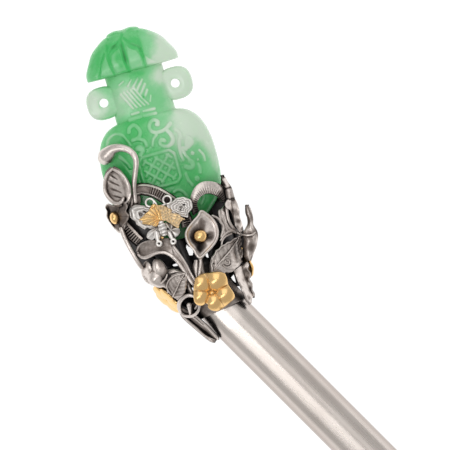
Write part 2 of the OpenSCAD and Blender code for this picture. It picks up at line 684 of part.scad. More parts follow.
module at_rest() {
    translate([-(low_x + tip_x) / 2, -(low_y + high_y) / 2, rest_lift]) rotate([0, rest_pitch, 0]) children();
}

module blossom_back() color(gilt) on_back() blossom(back_r);

at_rest() shaft();
at_rest() core_pin();
at_rest() jade_vase();
at_rest() openwork_cup();
at_rest() butterfly();
at_rest() blossom_on(front_place, front_r);  // blossom_front
at_rest() blossom_on(left_place, side_r);  // blossom_left
at_rest() blossom_on(right_place, side_r);  // blossom_right
at_rest() blossom_back();
at_rest() bead_in(front_calla_place, front_calla);  // bead_front
at_rest() bead_in(left_calla_place, left_calla);  // bead_left
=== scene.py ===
"""Dressed model of a binyeo hairpin: a carved jade vase in an openwork silver cup on a silver shaft.

Shapes are worked out in millimetres in the pin's own frame: x along the shaft, z out of the face, the
origin where the shaft's axis meets the head's. Most places are given in the head's frame: u across the
head, v up the head from that origin, and the lift over the cup's skin. to_rest turns them to the frame
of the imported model, in metres.
"""
import math

import bmesh
import bpy
import numpy as np
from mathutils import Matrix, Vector


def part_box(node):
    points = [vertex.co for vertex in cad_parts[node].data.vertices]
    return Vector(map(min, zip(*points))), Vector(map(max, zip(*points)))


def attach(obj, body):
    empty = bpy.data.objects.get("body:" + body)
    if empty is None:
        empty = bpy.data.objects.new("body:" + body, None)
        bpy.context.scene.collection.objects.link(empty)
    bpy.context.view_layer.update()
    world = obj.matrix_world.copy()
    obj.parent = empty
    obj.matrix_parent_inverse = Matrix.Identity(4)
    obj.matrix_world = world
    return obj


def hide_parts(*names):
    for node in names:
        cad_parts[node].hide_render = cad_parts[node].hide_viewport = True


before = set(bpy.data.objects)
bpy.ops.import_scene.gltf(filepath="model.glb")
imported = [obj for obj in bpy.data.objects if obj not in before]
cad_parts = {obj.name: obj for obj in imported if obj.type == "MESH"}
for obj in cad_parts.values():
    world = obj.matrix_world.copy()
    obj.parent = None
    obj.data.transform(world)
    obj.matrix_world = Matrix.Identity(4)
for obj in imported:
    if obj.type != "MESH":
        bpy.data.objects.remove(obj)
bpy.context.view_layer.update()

MM = 0.001

# The cup's bent centre line, its skin and the pose at rest, as in the CAD model
BEND = math.radians(29.3)
BEND_R = 60.0
ARC = BEND_R * BEND
TANGENT = BEND_R * math.tan(BEND / 2)
CUP_BEFORE_BEND = 13.4
CUP_START = ARC / 2 - CUP_BEFORE_BEND
CUP_LEN = 31.0
SHAFT_R = 4.65
SHAFT_LEN = 150.0
SHAFT_INSIDE = 7.2
SHAFT_X = TANGENT - CUP_START - SHAFT_INSIDE
ROOT_R = 5.58
MOUTH_HALF_W = 12.4
MOUTH_HALF_D = 6.0
BELLY = 1.1
REST_PITCH = math.radians(1.6362)
REST_SHIFT = np.array([-55.2081, -10.1608, 8.3755])

# The photograph's middle picture frame is turned from the head's by this angle
MID_TURN = math.radians(14.3)


def unit(v):
    """Vectors at length 1."""
    return v / np.maximum(np.linalg.norm(v, axis=-1, keepdims=True), 1e-9)


def to_rest(p):
    """Pin millimetres to metres at rest."""
    c, s = math.cos(REST_PITCH), math.sin(REST_PITCH)
    x, y, z = p[..., 0], p[..., 1], p[..., 2]
    return (np.stack([x * c + z * s, y, z * c - x * s], -1) + REST_SHIFT) * MM


def from_rest(p):
    """Metres at rest to pin millimetres."""
    c, s = math.cos(REST_PITCH), math.sin(REST_PITCH)
    p = np.asarray(p) / MM - REST_SHIFT
    x, y, z = p[..., 0], p[..., 1], p[..., 2]
    return np.stack([x * c - z * s, y, z * c + x * s], -1)


def pin_xy(u, v):
    """Place across and up the head to the pin's x and y."""
    c, s = math.cos(BEND), math.sin(BEND)
    return -c * v + s * u, s * v + c * u


HEAD_AXES = np.array([[*pin_xy(1, 0), 0], [*pin_xy(0, 1), 0], [0, 0, 1]])


def hump(x, middle, far):
    """Bell curve, 1 at its middle."""
    return np.exp(-((x - middle) / far) ** 2)


def from_mid(rows):
    """Rows that start with a place in the middle frame, with that place in the head's frame."""
    c, s = math.cos(MID_TURN), math.sin(MID_TURN)
    return [(c * r[0] - s * r[1], s * r[0] + c * r[1], *r[2:]) for r in rows]


def soft(x):
    """Smooth step from 0 to 1 over shares from 0 to 1."""
    x = np.clip(x, 0, 1)
    return x * x * (3 - 2 * x)


def line_share(x, y):
    """Share of the cup's length, and distance to the side of its centre line, under a place."""
    turn = np.arctan2(-(x - TANGENT), -(y - BEND_R))
    c, s = math.cos(BEND), math.sin(BEND)
    straight = ARC + (-(x * c) + y * s - TANGENT)
    along = np.where(turn > BEND, straight, np.where(turn < 0, TANGENT - x, BEND_R * turn))
    side = np.where(turn > BEND, x * s + y * c,
                    np.where(turn < 0, y, BEND_R - np.hypot(x - TANGENT, y - BEND_R)))
    return (along - CUP_START) / CUP_LEN, side


def half_w(t):
    """Half width of the cup's skin at a share of its length."""
    return ROOT_R + (MOUTH_HALF_W - ROOT_R) * soft(np.clip(t, 0, 1) ** 0.8)


def half_d(t):
    """Half depth of the cup's skin, with its belly."""
    q = np.clip(t, 0, 1)
    low = ROOT_R + (MOUTH_HALF_D + BELLY - ROOT_R) * np.sin(np.pi / 2 * np.minimum(q / 0.55, 1))
    return np.where(q < 0.55, low, MOUTH_HALF_D + BELLY - BELLY * soft((q - 0.55) / 0.45))


def face(u, v, lift):
    """Places at a lift over the cup's skin, as seen from above at (u, v) of the head's frame."""
    x, y = pin_xy(np.asarray(u, float), np.asarray(v, float))
    t, side = line_share(x, y)
    q = np.minimum(np.abs(side / half_w(t)), 0.985)
    return np.stack([x, y, half_d(t) * np.sqrt(1 - q * q) + lift], -1)


def skin_frame(place, lift):
    """Origin and axes of an ornament tangent to the skin at [t, f, turn], as in the CAD model."""
    def bare(t, f):
        s = CUP_START + CUP_LEN * t
        q = min(max(s, 0), ARC) / BEND_R
        ahead = np.array([-math.cos(q), math.sin(q), 0])
        side = np.array([math.sin(q), math.cos(q), 0])
        start = np.array([TANGENT - BEND_R * math.sin(q), BEND_R * (1 - math.cos(q)), 0])
        middle = start + (s - min(max(s, 0), ARC)) * ahead
        return middle + side * half_w(t) * math.sin(f) + np.array([0, 0, half_d(t) * math.cos(f)])
    t, f, turn = place[0], math.radians(place[1]), math.radians(place[2])
    up = unit(bare(t + 0.01, f) - bare(t - 0.01, f))
    out = unit(np.cross(bare(t, f + 0.02) - bare(t, f - 0.02), up))
    right = np.cross(up, out)
    x = right * math.cos(turn) - up * math.sin(turn)
    return bare(t, f) + lift * out, np.array([x, np.cross(out, x), out])


def smoothed(rows, count, closed=False, steps=12):
    """Evenly spaced rows on a smooth curve through the given ones."""
    rows = np.asarray(rows, float)
    if closed:
        rows = np.vstack([rows, rows[:1]])
        before, after = rows[-2], rows[1]
    else:
        before, after = 2 * rows[0] - rows[1], 2 * rows[-1] - rows[-2]
    n = len(rows) - 1
    line = np.vstack([before, rows, after])
    q = np.linspace(0, n, n * steps + 1)
    i = np.minimum(q.astype(int), n - 1)
    x = (q - i)[:, None]
    a, b, c, d = line[i], line[i + 1], line[i + 2], line[i + 3]
    line = b + 0.5 * x * (c - a + x * (2 * a - 5 * b + 4 * c - d + x * (3 * (b - c) + d - a)))
    reach = np.concatenate([[0], np.cumsum(np.linalg.norm(np.diff(line[:, :2], axis=0), axis=1))])
    even = np.linspace(0, reach[-1], count + 1 if closed else count)
    even = even[:count]
    return np.stack([np.interp(even, reach, line[:, k]) for k in range(line.shape[1])], 1)


def ring_quads(n, k, closed=False):
    """Faces between n rings of k points; closed joins the last ring to the first."""
    i, j = np.meshgrid(np.arange(n if closed else n - 1), np.arange(k), indexing="ij")
    after, beside = (i + 1) % n, (j + 1) % k
    return np.stack([i * k + j, i * k + beside, after * k + beside, after * k + j], -1).reshape(-1, 4)


def capped_faces(n, k, start=0):
    """Faces of a closed solid: n rings of k points, and after them the middles of its two ends."""
    around = np.arange(k)
    beside = (around + 1) % k
    first = np.stack([np.full(k, n * k), beside, around], -1)
    last = np.stack([np.full(k, n * k + 1), (n - 1) * k + around, (n - 1) * k + beside], -1)
    return [face for part in (ring_quads(n, k), first, last) for face in (part + start).tolist()]


class Shapes:
    """Closed shapes gathered into one mesh, with each point's share of recess and of painted shade, 1 where
    it is darkest.
    """

    def __init__(self):
        self.points = []
        self.oxide_and_shade = []
        self.faces = []
        self.count = 0

    def loft(self, rings, oxide_and_shade):
        """Closed solid through rings of points; oxide_and_shade is a number or holds one for each point."""
        n, k = rings.shape[:2]
        oxide_and_shade = np.broadcast_to(np.asarray(oxide_and_shade, float), (n, k))
        self.points.append(np.vstack([rings.reshape(-1, 3), rings[0].mean(0), rings[-1].mean(0)]))
        self.oxide_and_shade.append(np.concatenate([oxide_and_shade.reshape(-1), [oxide_and_shade[0].mean(), oxide_and_shade[-1].mean()]]))
        self.faces += capped_faces(n, k, self.count)
        self.count += n * k + 2

    def hoop(self, rings, oxide_and_shade):
        """Closed band through rings of points that ends where it starts; oxide_and_shade has one value a
        ring.
        """
        n, k = rings.shape[:2]
        self.points.append(rings.reshape(-1, 3))
        self.oxide_and_shade.append(np.repeat(oxide_and_shade, k))
        self.faces += (ring_quads(n, k, True) + self.count).tolist()
        self.count += n * k

    def tube(self, path, radius, thick=1.0, sides=16, oxide_and_shade=0.0, up=(0, 0, 1)):
        """Round bar along a path, with rounded ends; thick flattens it along up."""
        path = np.asarray(path, float)
        radius = np.broadcast_to(np.asarray(radius, float), (len(path),)).copy()
        ahead = unit(np.gradient(path, axis=0))
        caps = np.radians([75, 50, 25])
        head = [path[0] - ahead[0] * radius[0] * math.sin(a) for a in caps]
        tail = [path[-1] + ahead[-1] * radius[-1] * math.sin(a) for a in caps[::-1]]
        round_off = np.cos(caps)
        path = np.vstack([head, path, tail])
        ahead = np.vstack([[ahead[0]] * 3, ahead, [ahead[-1]] * 3])
        radius = np.concatenate([radius[0] * round_off, radius, radius[-1] * round_off[::-1]])
        z = unit(np.asarray(up, float) - ahead * (ahead @ np.asarray(up, float))[:, None])
        x = np.cross(z, ahead)
        a = np.arange(sides) / sides * 2 * np.pi
        rings = (path[:, None] + x[:, None] * (radius[:, None] * np.cos(a))[..., None]
                 + z[:, None] * (radius[:, None] * np.sin(a) * thick)[..., None])
        # The side away from up is darkened, as oxide and as painted shade.
        low = np.clip(-np.sin(a), 0, 1)
        self.loft(rings, np.clip(oxide_and_shade + 0.6 * low * np.ones((len(path), 1)), 0, 1))

    def stem(self, rows, count=40, thick=1.0, oxide_and_shade=0.0):
        """Bar through rows of [u, v, lift, radius]."""
        r = smoothed(rows, count)
        self.tube(face(r[:, 0], r[:, 1], r[:, 2]), r[:, 3], thick, oxide_and_shade=oxide_and_shade)

    def rim(self, outline, lift, radius, count, thick=1.0):
        """Bar round a closed outline at one lift; radius is a number or has one for each point."""
        loop = smoothed(outline, count, closed=True)
        loop = np.vstack([loop, loop[:1]])
        radius = np.broadcast_to(radius, (count,))
        self.tube(face(loop[:, 0], loop[:, 1], lift + 0 * loop[:, 0]), np.append(radius, radius[0]), thick)

    def sheet(self, top, thick, oxide_and_shade):
        """Shell under a grid of points, with a rounded edge."""
        normal = unit(np.cross(np.gradient(top, axis=0), np.gradient(top, axis=1)))
        normal *= np.sign(normal[..., 2].mean())
        low = top - normal * thick
        middle = (top + low) / 2
        left = middle[:, :1] + unit(top[:, :1] - top[:, 1:2]) * thick * 0.4
        right = middle[:, -1:] + unit(top[:, -1:] - top[:, -2:-1]) * thick * 0.4
        rings = np.concatenate([top, right, low[:, ::-1], left], 1)
        oxide_and_shade = np.broadcast_to(np.asarray(oxide_and_shade, float), top.shape[:2])
        # The edge and the underside are darkened, as oxide and as painted shade.
        edge = np.full((len(top), 1), 0.25)
        under = np.ones(top.shape[:2])
        self.loft(rings, np.concatenate([oxide_and_shade, edge, under, edge], 1))

    def leaf(self, left, right, lift, form, thick=0.45, count=60, across=33):
        """Leaf between two edges from base to tip; form(a, w) gives its heights and its shares of recess and
        painted shade.
        """
        a, b = smoothed(left, count), smoothed(right, count)
        w = np.linspace(-1, 1, across)
        uv = (a + b)[:, None, :2] / 2 + (b - a)[:, None, :2] / 2 * w[:, None]
        along = np.linspace(0, 1, count)[:, None]
        height, oxide_and_shade = form(along, w[None])
        raised = np.broadcast_to(lift, (count,)) if np.ndim(lift) == 0 else np.interp(
            along[:, 0], np.linspace(0, 1, len(lift)), lift)
        self.sheet(face(uv[..., 0], uv[..., 1], raised[:, None] + height), thick, oxide_and_shade)

    def plate(self, outline, centre, lift, form, thick=0.4, count=84, rows=15, ground=face, by_place=False):
        """Plate inside a closed outline over a ground.

        form(q, a), or form(u, v) by place, gives its heights and its shares of recess and painted shade.
        """
        edge = smoothed(outline, count, closed=True)
        q = np.linspace(0.03, 1, rows)[:, None]
        uv = np.asarray(centre) + (edge[None] - np.asarray(centre)) * q[..., None]
        a = np.arctan2(edge[:, 1] - centre[1], edge[:, 0] - centre[0])[None]
        height, oxide_and_shade = form(uv[..., 0], uv[..., 1]) if by_place else form(q, a)
        height = np.broadcast_to(height, uv.shape[:2])
        top = ground(uv[..., 0], uv[..., 1], lift + height)
        low = ground(uv[..., 0], uv[..., 1], lift + height - thick)
        out = unit(top[-1:] - top[-2:-1]) * thick * 0.3
        rings = np.concatenate([top, (top[-1:] + low[-1:]) / 2 + out, low[::-1]])
        oxide_and_shade = np.broadcast_to(oxide_and_shade, uv.shape[:2])
        # The rim and the underside are darkened, as oxide and as painted shade.
        self.loft(rings, np.concatenate([oxide_and_shade, np.full((1, count), 0.2), np.ones(uv.shape[:2])]))

    def blob(self, centre, radii, axes=None, dent=None, sides=28, rows=18, oxide_and_shade=0.0):
        """Rounded lump; dent(directions) gives factors for its reach."""
        p = np.linspace(0.04, np.pi - 0.04, rows)[:, None]
        a = np.arange(sides)[None] / sides * 2 * np.pi
        way = np.stack([np.sin(p) * np.cos(a), np.sin(p) * np.sin(a), np.cos(p) * np.ones_like(a)], -1)
        reach = np.ones(way.shape[:2]) if dent is None else dent(way)
        axes = np.eye(3) if axes is None else axes
        rings = np.asarray(centre) + (way * reach[..., None] * np.asarray(radii)) @ axes
        # Dents take oxide, and the lower half is darkened as painted shade.
        self.loft(rings, np.clip(oxide_and_shade + (1 - reach) * 3 + 0.4 * np.clip(-way[..., 2], 0, 1), 0, 1))

    def ring(self, u, v, lift, r, wire, start=0.0, sweep=360.0, count=40):
        """Wire bent round a centre."""
        a = np.radians(start + np.linspace(0, sweep, count))
        self.tube(face(u + r * np.cos(a), v + r * np.sin(a), lift + 0 * a), wire, sides=12)

    def make(self, name, node, material):
        """The piece as an object that stands for a node."""
        mesh = bpy.data.meshes.new(name)
        mesh.from_pydata(to_rest(np.vstack(self.points)).tolist(), [], self.faces)
        mesh.attributes.new("recess_and_shade", "FLOAT", "POINT").data.foreach_set(
            "value", np.concatenate(self.oxide_and_shade).astype(np.float32))
        finish_piece(mesh, name, node, material)


SHARP_ANGLE = math.radians(50)


def face_outwards(mesh):
    """Turns a closed mesh's faces outwards."""
    shell = bmesh.new()
    shell.from_mesh(mesh)
    bmesh.ops.recalc_face_normals(shell, faces=shell.faces)
    shell.to_mesh(mesh)
    shell.free()


def finish_piece(mesh, name, node, material):
    """An object of a mesh, smooth but for its sharp edges, that rides the root and stands for a node."""
    face_outwards(mesh)
    mesh.shade_smooth()
    mesh.set_sharp_from_angle(angle=SHARP_ANGLE)
    mesh.materials.append(material)
    piece = bpy.data.objects.new(name, mesh)
    bpy.context.scene.collection.objects.link(piece)
    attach(piece, "root")
    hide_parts(node)


# Node groups and materials

def add(tree, kind, **settings):
    """New node with its settings."""
    node = tree.nodes.new(kind)
    for key, value in settings.items():
        setattr(node, key, value)
    return node


def feed(tree, socket, value):
    """Links a socket, or sets it when the value isn't a socket."""
    if isinstance(value, bpy.types.NodeSocket):
        tree.links.new(value, socket)
    else:
        socket.default_value = value


def calc(tree, operation, a, b=0.0, c=None):
    """Output of a math node on numbers or sockets."""
    node = add(tree, "ShaderNodeMath", operation=operation)
    feed(tree, node.inputs[0], a)
    feed(tree, node.inputs[1], b)
    if c is not None:
        feed(tree, node.inputs[2], c)
    return node.outputs[0]


def blend(tree, share, a, b):
    """Colour a, with a share of colour b over it."""
    node = add(tree, "ShaderNodeMix", data_type="RGBA")
    feed(tree, node.inputs["Factor"], share)
    feed(tree, node.inputs[6], a)
    feed(tree, node.inputs[7], b)
    return node.outputs[2]


def ramp(tree, value, low, high, to_low=0.0, to_high=1.0):
    """Smooth step of a value from low to high, between two results."""
    node = add(tree, "ShaderNodeMapRange", interpolation_type="SMOOTHSTEP")
    for key, x in (("Value", value), ("From Min", low), ("From Max", high), ("To Min", to_low),
                   ("To Max", to_high)):
        feed(tree, node.inputs[key], x)
    return node.outputs[0]


def noise(tree, scale, detail=4.0, rough=0.6, stretch=None):
    """Noise over the object's own coordinates, in metres."""
    place = add(tree, "ShaderNodeTexCoord").outputs["Object"]
    if stretch is not None:
        turn = add(tree, "ShaderNodeMapping")
        turn.inputs["Scale"].default_value = stretch
        tree.links.new(place, turn.inputs["Vector"])
        place = turn.outputs[0]
    node = add(tree, "ShaderNodeTexNoise")
    tree.links.new(place, node.inputs["Vector"])
    node.inputs["Scale"].default_value = scale
    node.inputs["Detail"].default_value = detail
    node.inputs["Roughness"].default_value = rough
    return node.outputs["Fac"]


def group(name, inputs, outputs):
    """Empty node group with named sockets; returns it with the sockets to read and to fill."""
    tree = bpy.data.node_groups.new(name, "ShaderNodeTree")
    for title, kind, value in inputs:
        socket = tree.interface.new_socket(title, in_out="INPUT", socket_type=kind)
        socket.default_value = value
    for title, kind in outputs:
        tree.interface.new_socket(title, in_out="OUTPUT", socket_type=kind)
    return tree, add(tree, "NodeGroupInput").outputs, add(tree, "NodeGroupOutput").inputs


FLOAT, COLOR = "NodeSocketFloat", "NodeSocketColor"
WHITE = (1, 1, 1, 1)
GREY = (0.5, 0.5, 0.5, 1)


def tarnish_and_shade_group():
    """Cast metal that is bright where it is rubbed, dark with oxide in its recesses, and darkened by the
    painted shade in its recess share.
    """
    tree, given, result = group(
        "tarnish_and_shade",
        [("Recess And Shade", FLOAT, 0.0), ("Occlusion", FLOAT, 1.0), ("Amount", FLOAT, 0.5), ("Grain", FLOAT, 1.0),
         ("Bright", COLOR, WHITE), ("Middle", COLOR, GREY), ("Dark", COLOR, GREY),
         ("Smooth Roughness", FLOAT, 0.3), ("Dull Roughness", FLOAT, 0.6)],
        [("Color", COLOR), ("Roughness", FLOAT), ("Height", FLOAT)])
    broad = noise(tree, 380.0, 4.0, 0.65)
    fine = noise(tree, 2600.0, 5.0, 0.7)
    closed = calc(tree, "SUBTRACT", 1.0, given["Occlusion"])
    wear_and_shade = calc(tree, "MULTIPLY_ADD", given["Recess And Shade"], 0.9, closed)
    uneven = calc(tree, "MULTIPLY", given["Grain"], 0.9)
    patches = calc(tree, "MULTIPLY", calc(tree, "SUBTRACT", broad, 0.5), uneven)
    wear_and_shade = calc(tree, "ADD", wear_and_shade, patches)
    wear_and_shade = calc(tree, "MULTIPLY", wear_and_shade, given["Amount"])
    color = blend(tree, ramp(tree, wear_and_shade, 0.1, 0.5), given["Bright"], given["Middle"])
    color = blend(tree, ramp(tree, wear_and_shade, 0.45, 1.0), color, given["Dark"])
    speckle = ramp(tree, fine, 0.3, 0.7, calc(tree, "MULTIPLY_ADD", given["Grain"], -0.2, 1.0),
                   calc(tree, "MULTIPLY_ADD", given["Grain"], 0.06, 1.0))
    tint = add(tree, "ShaderNodeVectorMath", operation="SCALE")
    tree.links.new(color, tint.inputs[0])
    tree.links.new(speckle, tint.inputs["Scale"])
    tree.links.new(tint.outputs[0], result["Color"])
    rough = ramp(tree, wear_and_shade, 0.0, 0.7, given["Smooth Roughness"], given["Dull Roughness"])
    rubbed = calc(tree, "MULTIPLY", fine, calc(tree, "MULTIPLY", given["Grain"], 0.12))
    tree.links.new(calc(tree, "ADD", rubbed, rough), result["Roughness"])
    tree.links.new(calc(tree, "ADD", fine, calc(tree, "MULTIPLY", broad, 2.0)), result["Height"])
    return tree


TARNISH_AND_SHADE = tarnish_and_shade_group()


def principled(name, metallic=0.0):
    """New material, with its tree and its Principled shader."""
    material = bpy.data.materials.new(name)
    material.use_nodes = True
    shader = material.node_tree.nodes["Principled BSDF"]
    shader.inputs["Metallic"].default_value = metallic
    return material, material.node_tree, shader


def bump(tree, shader, height, strength, distance):
    """Bump of a height on the shader; distance in metres."""
    node = add(tree, "ShaderNodeBump")
    node.inputs["Strength"].default_value = strength
    node.inputs["Distance"].default_value = distance
    tree.links.new(height, node.inputs["Height"])
    tree.links.new(node.outputs[0], shader.inputs["Normal"])


def cast_metal(name, bright, middle, dark, amount, smooth, dull, bump_mm, reach=0.9, grain=1.0):
    """Metal finished by the tarnish and painted shade group; reach is how far off, in mm, a wall still
    shades it.
    """
    material, tree, shader = principled(name, 1.0)
    worn_and_shaded = add(tree, "ShaderNodeGroup", node_tree=TARNISH_AND_SHADE)
    # This share holds both oxide in the hollows and painted shade.
    depth = add(tree, "ShaderNodeAttribute", attribute_name="recess_and_shade")
    tree.links.new(depth.outputs["Fac"], worn_and_shaded.inputs["Recess And Shade"])
    shade = add(tree, "ShaderNodeAmbientOcclusion", samples=8)
    shade.inputs["Distance"].default_value = reach * MM
    tree.links.new(shade.outputs["AO"], worn_and_shaded.inputs["Occlusion"])
    for title, tone in (("Bright", bright), ("Middle", middle), ("Dark", dark)):
        worn_and_shaded.inputs[title].default_value = (*tone, 1)
    for title, value in (("Amount", amount), ("Grain", grain), ("Smooth Roughness", smooth),
                         ("Dull Roughness", dull)):
        worn_and_shaded.inputs[title].default_value = value
    tree.links.new(worn_and_shaded.outputs["Color"], shader.inputs["Base Color"])
    tree.links.new(worn_and_shaded.outputs["Roughness"], shader.inputs["Roughness"])
    bump(tree, shader, worn_and_shaded.outputs["Height"], 0.5, bump_mm * MM)
    return material


def satin_material():
    """Turned and rubbed silver, with fine scratches round it, faint stains and painted shade towards its
    edges as seen.
    """
    material, tree, shader = principled("satin_silver_finish", 1.0)
    ground = noise(tree, 500.0, 5.0, 0.7, (0.12, 3.0, 3.0))
    stain = noise(tree, 90.0, 3.0, 0.5)
    color = blend(tree, ramp(tree, stain, 0.35, 0.75), (0.75, 0.685, 0.64, 1), (0.685, 0.615, 0.57, 1))
    # Painted shade: the colour darkens where the surface turns away from the view.
    edge = add(tree, "ShaderNodeLayerWeight")
    edge.inputs["Blend"].default_value = 0.45
    color = blend(tree, ramp(tree, edge.outputs["Facing"], 0.15, 0.7, 0.0, 0.9), color,
                  (0.42, 0.355, 0.32, 1))
    tree.links.new(color, shader.inputs["Base Color"])
    tree.links.new(ramp(tree, ground, 0.3, 0.75, 0.25, 0.33), shader.inputs["Roughness"])
    bump(tree, shader, ground, 0.25, 0.004 * MM)
    return material


def jade_material():
    """Clouded green stone: its zones, its raised strokes and its shadows come with the mesh."""
    material, tree, shader = principled("jade_finish")
    zone = add(tree, "ShaderNodeAttribute", attribute_name="green").outputs["Fac"]
    raised = add(tree, "ShaderNodeAttribute", attribute_name="raised").outputs["Fac"]
    painted_shadow = add(tree, "ShaderNodeAttribute", attribute_name="painted_shadow").outputs["Fac"]
    cloud = noise(tree, 210.0, 6.0, 0.6)
    streak = noise(tree, 420.0, 6.0, 0.65, (1.0, 0.35, 1.0))
    depth = calc(tree, "ADD", zone, calc(tree, "MULTIPLY", calc(tree, "SUBTRACT", cloud, 0.5), 0.55))
    depth = calc(tree, "ADD", depth, calc(tree, "MULTIPLY", calc(tree, "SUBTRACT", streak, 0.5), 0.3))
    depth = calc(tree, "SUBTRACT", depth, calc(tree, "MULTIPLY", raised, 0.3))
    pale, middle = (0.65, 0.80, 0.64, 1), (0.23, 0.66, 0.30, 1)
    strong, dark = (0.055, 0.54, 0.13, 1), (0.008, 0.25, 0.04, 1)
    color = blend(tree, ramp(tree, depth, 0.0, 0.42), pale, middle)
    color = blend(tree, ramp(tree, depth, 0.38, 0.82), color, strong)
    color = blend(tree, ramp(tree, depth, 0.85, 1.35), color, dark)
    color = blend(tree, calc(tree, "MINIMUM", painted_shadow, 0.92), color, (0.03, 0.14, 0.045, 1))
    color = blend(tree, ramp(tree, painted_shadow, 0.95, 1.7), color, (0.008, 0.016, 0.01, 1))
    tree.links.new(color, shader.inputs["Base Color"])
    tree.links.new(ramp(tree, cloud, 0.3, 0.7, 0.16, 0.3), shader.inputs["Roughness"])
    shader.inputs["Subsurface Weight"].default_value = 0.3
    shader.inputs["Subsurface Radius"].default_value = (0.7, 1.0, 0.7)
    shader.inputs["Subsurface Scale"].default_value = 0.7 * MM
    shader.inputs["IOR"].default_value = 1.5
    shader.inputs["Coat Weight"].default_value = 0.12
    shader.inputs["Coat Roughness"].default_value = 0.12
    bump(tree, shader, streak, 0.12, 0.03 * MM)
    return material


SATIN = satin_material()
SILVER = cast_metal("dark_silver_finish", (0.80, 0.72, 0.67), (0.27, 0.225, 0.20), (0.018, 0.015, 0.015),
                    0.95, 0.28, 0.5, 0.025, 1.5)
BUTTERFLY_SILVER = cast_metal("butterfly_silver_finish", (0.95, 0.91, 0.87), (0.5, 0.46, 0.43),
                              (0.07, 0.06, 0.055), 0.7, 0.3, 0.5, 0.02, 0.5, 0.6)
GILT = cast_metal("gilt_finish", (1.0, 0.65, 0.28), (0.55, 0.41, 0.25), (0.22, 0.155, 0.09),
                  0.4, 0.25, 0.36, 0.0003, 0.5, 0.1)
# Near-black, as oxide and as painted shade deep inside the cup.
INNER_OXIDE_AND_SHADE = cast_metal("inner_silver_oxide_and_shade_finish", (0.10, 0.095, 0.095), (0.035, 0.033, 0.035), (0.01, 0.01, 0.011),
                   0.9, 0.4, 0.6, 0.05)
JADE = jade_material()


# Forms of leaves and plates: heights in mm, and shares of recess and painted shade, over their length and
# width

def hollow(depth, dark=0.9):
    """Raised edges round a dark hollow."""
    def form(a, w):
        edge = np.abs(w) ** 2.2
        return depth * edge + 0 * a, dark * (1 - edge) + 0 * a
    return form


def crowned(height, dark=0.25):
    """Domed strip with darker edges."""
    def form(a, w):
        return height * (1 - w * w) + 0 * a, dark * np.abs(w) ** 3 + 0 * a
    return form


def veined(count, slant=1.2, fold=0.4, vein=0.13, shade=0.75, middle=True):
    """Side veins that run up from a midrib, with dark grooves between them."""
    def form(a, w):
        wave = np.cos(2 * np.pi * (a * count - np.abs(w) * slant))
        rib = np.exp(-(w / 0.09) ** 2) if middle else 0
        ridge = 0.5 + 0.5 * wave
        return (fold * np.abs(w) ** 1.5 + vein * ridge + 0.25 * rib,
                np.clip(shade * (1 - ridge) ** 1.5 + 0.1 - 0.3 * rib, 0, 1))
    return form


def ribbed(count, start=0.0, end=1.0, height=0.22, rest=0.8, lines=0.0):
    """Cross ribs between two shares of the length, smooth and dark elsewhere."""
    def form(a, w):
        inside = soft((a - start) / 0.04) * soft((end - a) / 0.04)
        rib = (0.5 + 0.5 * np.cos(2 * np.pi * count * (a + lines * w * w))) ** 1.3
        band = soft((0.92 - np.abs(w)) / 0.15)
        edge = soft((np.abs(w) - 0.8) / 0.12)
        return (0.22 * edge + height * rib * inside * band,
                np.clip(rest * (1 - inside * rib * band) * (1 - 0.6 * edge), 0, 1))
    return form


def bowl(depth, power=1.5, dark=0.8, lip=0.25):
    """Funnel with a rolled lip; q runs from the throat to the rim."""
    def form(q, a):
        return (-depth * (1 - q) ** power + lip * soft((q - 0.82) / 0.18) + 0 * a,
                dark * (1 - soft((q - 0.55) / 0.4)) + 0 * a)
    return form


def fan(height, ribs, rib=0.12, dark=0.6):
    """Domed plate with ribs that spread from its centre."""
    def form(q, a):
        wave = 0.5 + 0.5 * np.cos(ribs * a)
        return (height * (1 - q * q) + rib * wave * soft(q * 3),
                np.clip(dark * (1 - wave) * soft(q * 3) + 0 * a, 0, 1))
    return form


def lined(lines, rib=0.13, dark=0.75, scallop=0.0, spots=()):
    """Plate with lines that follow its edge, and oval spots."""
    def form(q, a):
        wave = 0.5 + 0.5 * np.cos(2 * np.pi * lines * (q + scallop * np.cos(9 * a)))
        hole = 0 * q * a
        for x, y, r in spots:
            far = np.hypot(q * np.cos(a) - x, q * np.sin(a) - y)
            hole = np.maximum(hole, soft((r - far) / 0.06))
        return rib * wave * (1 - hole) - 0.2 * hole + 0.2 * (1 - q), np.clip(
            dark * (1 - wave) + hole, 0, 1)
    return form


def shaft_piece():
    """A turned tube with a seat at its open end, a taper and a blunt domed tip."""
    taper_len, tip_r, wall, lip = 26, 3.3, 0.9, 0.12
    seat_x, seat_step, ease_len = SHAFT_X + 1.4, 0.25, 5
    taper_x = SHAFT_X + SHAFT_LEN - taper_len
    tip_x = SHAFT_X + SHAFT_LEN - 0.01
    seat_r = SHAFT_R - seat_step
    dome = np.radians(np.linspace(0, 88, 16))
    rows = [(taper_x, SHAFT_R - wall), (SHAFT_X, SHAFT_R - wall), (SHAFT_X, seat_r - lip),
            (SHAFT_X + lip, seat_r), (seat_x, seat_r)]
    rows += [(seat_x + ease_len * q, seat_r + seat_step * soft(q)) for q in np.linspace(0.1, 1, 10)]
    rows += [(x, SHAFT_R) for x in np.linspace(seat_x + ease_len + 1, taper_x, 20)]
    rows += [(taper_x + (taper_len - tip_r) * q, SHAFT_R + (tip_r * 1.03 - SHAFT_R) * q)
             for q in np.linspace(0.05, 1, 14)]
    rows += [(tip_x - tip_r + tip_r * math.sin(a), tip_r * math.cos(a)) for a in dome[1:]]
    sides = 160
    turn = np.arange(sides) / sides * 2 * np.pi
    shapes = Shapes()
    shapes.loft(np.array([np.stack([np.full(sides, x), r * np.cos(turn), r * np.sin(turn)], -1)
                          for x, r in rows]), 0.0)
    shapes.make("turned_shaft", "shaft", SATIN)


# The jade vase, in the head's frame: x across, y up, z out of its face

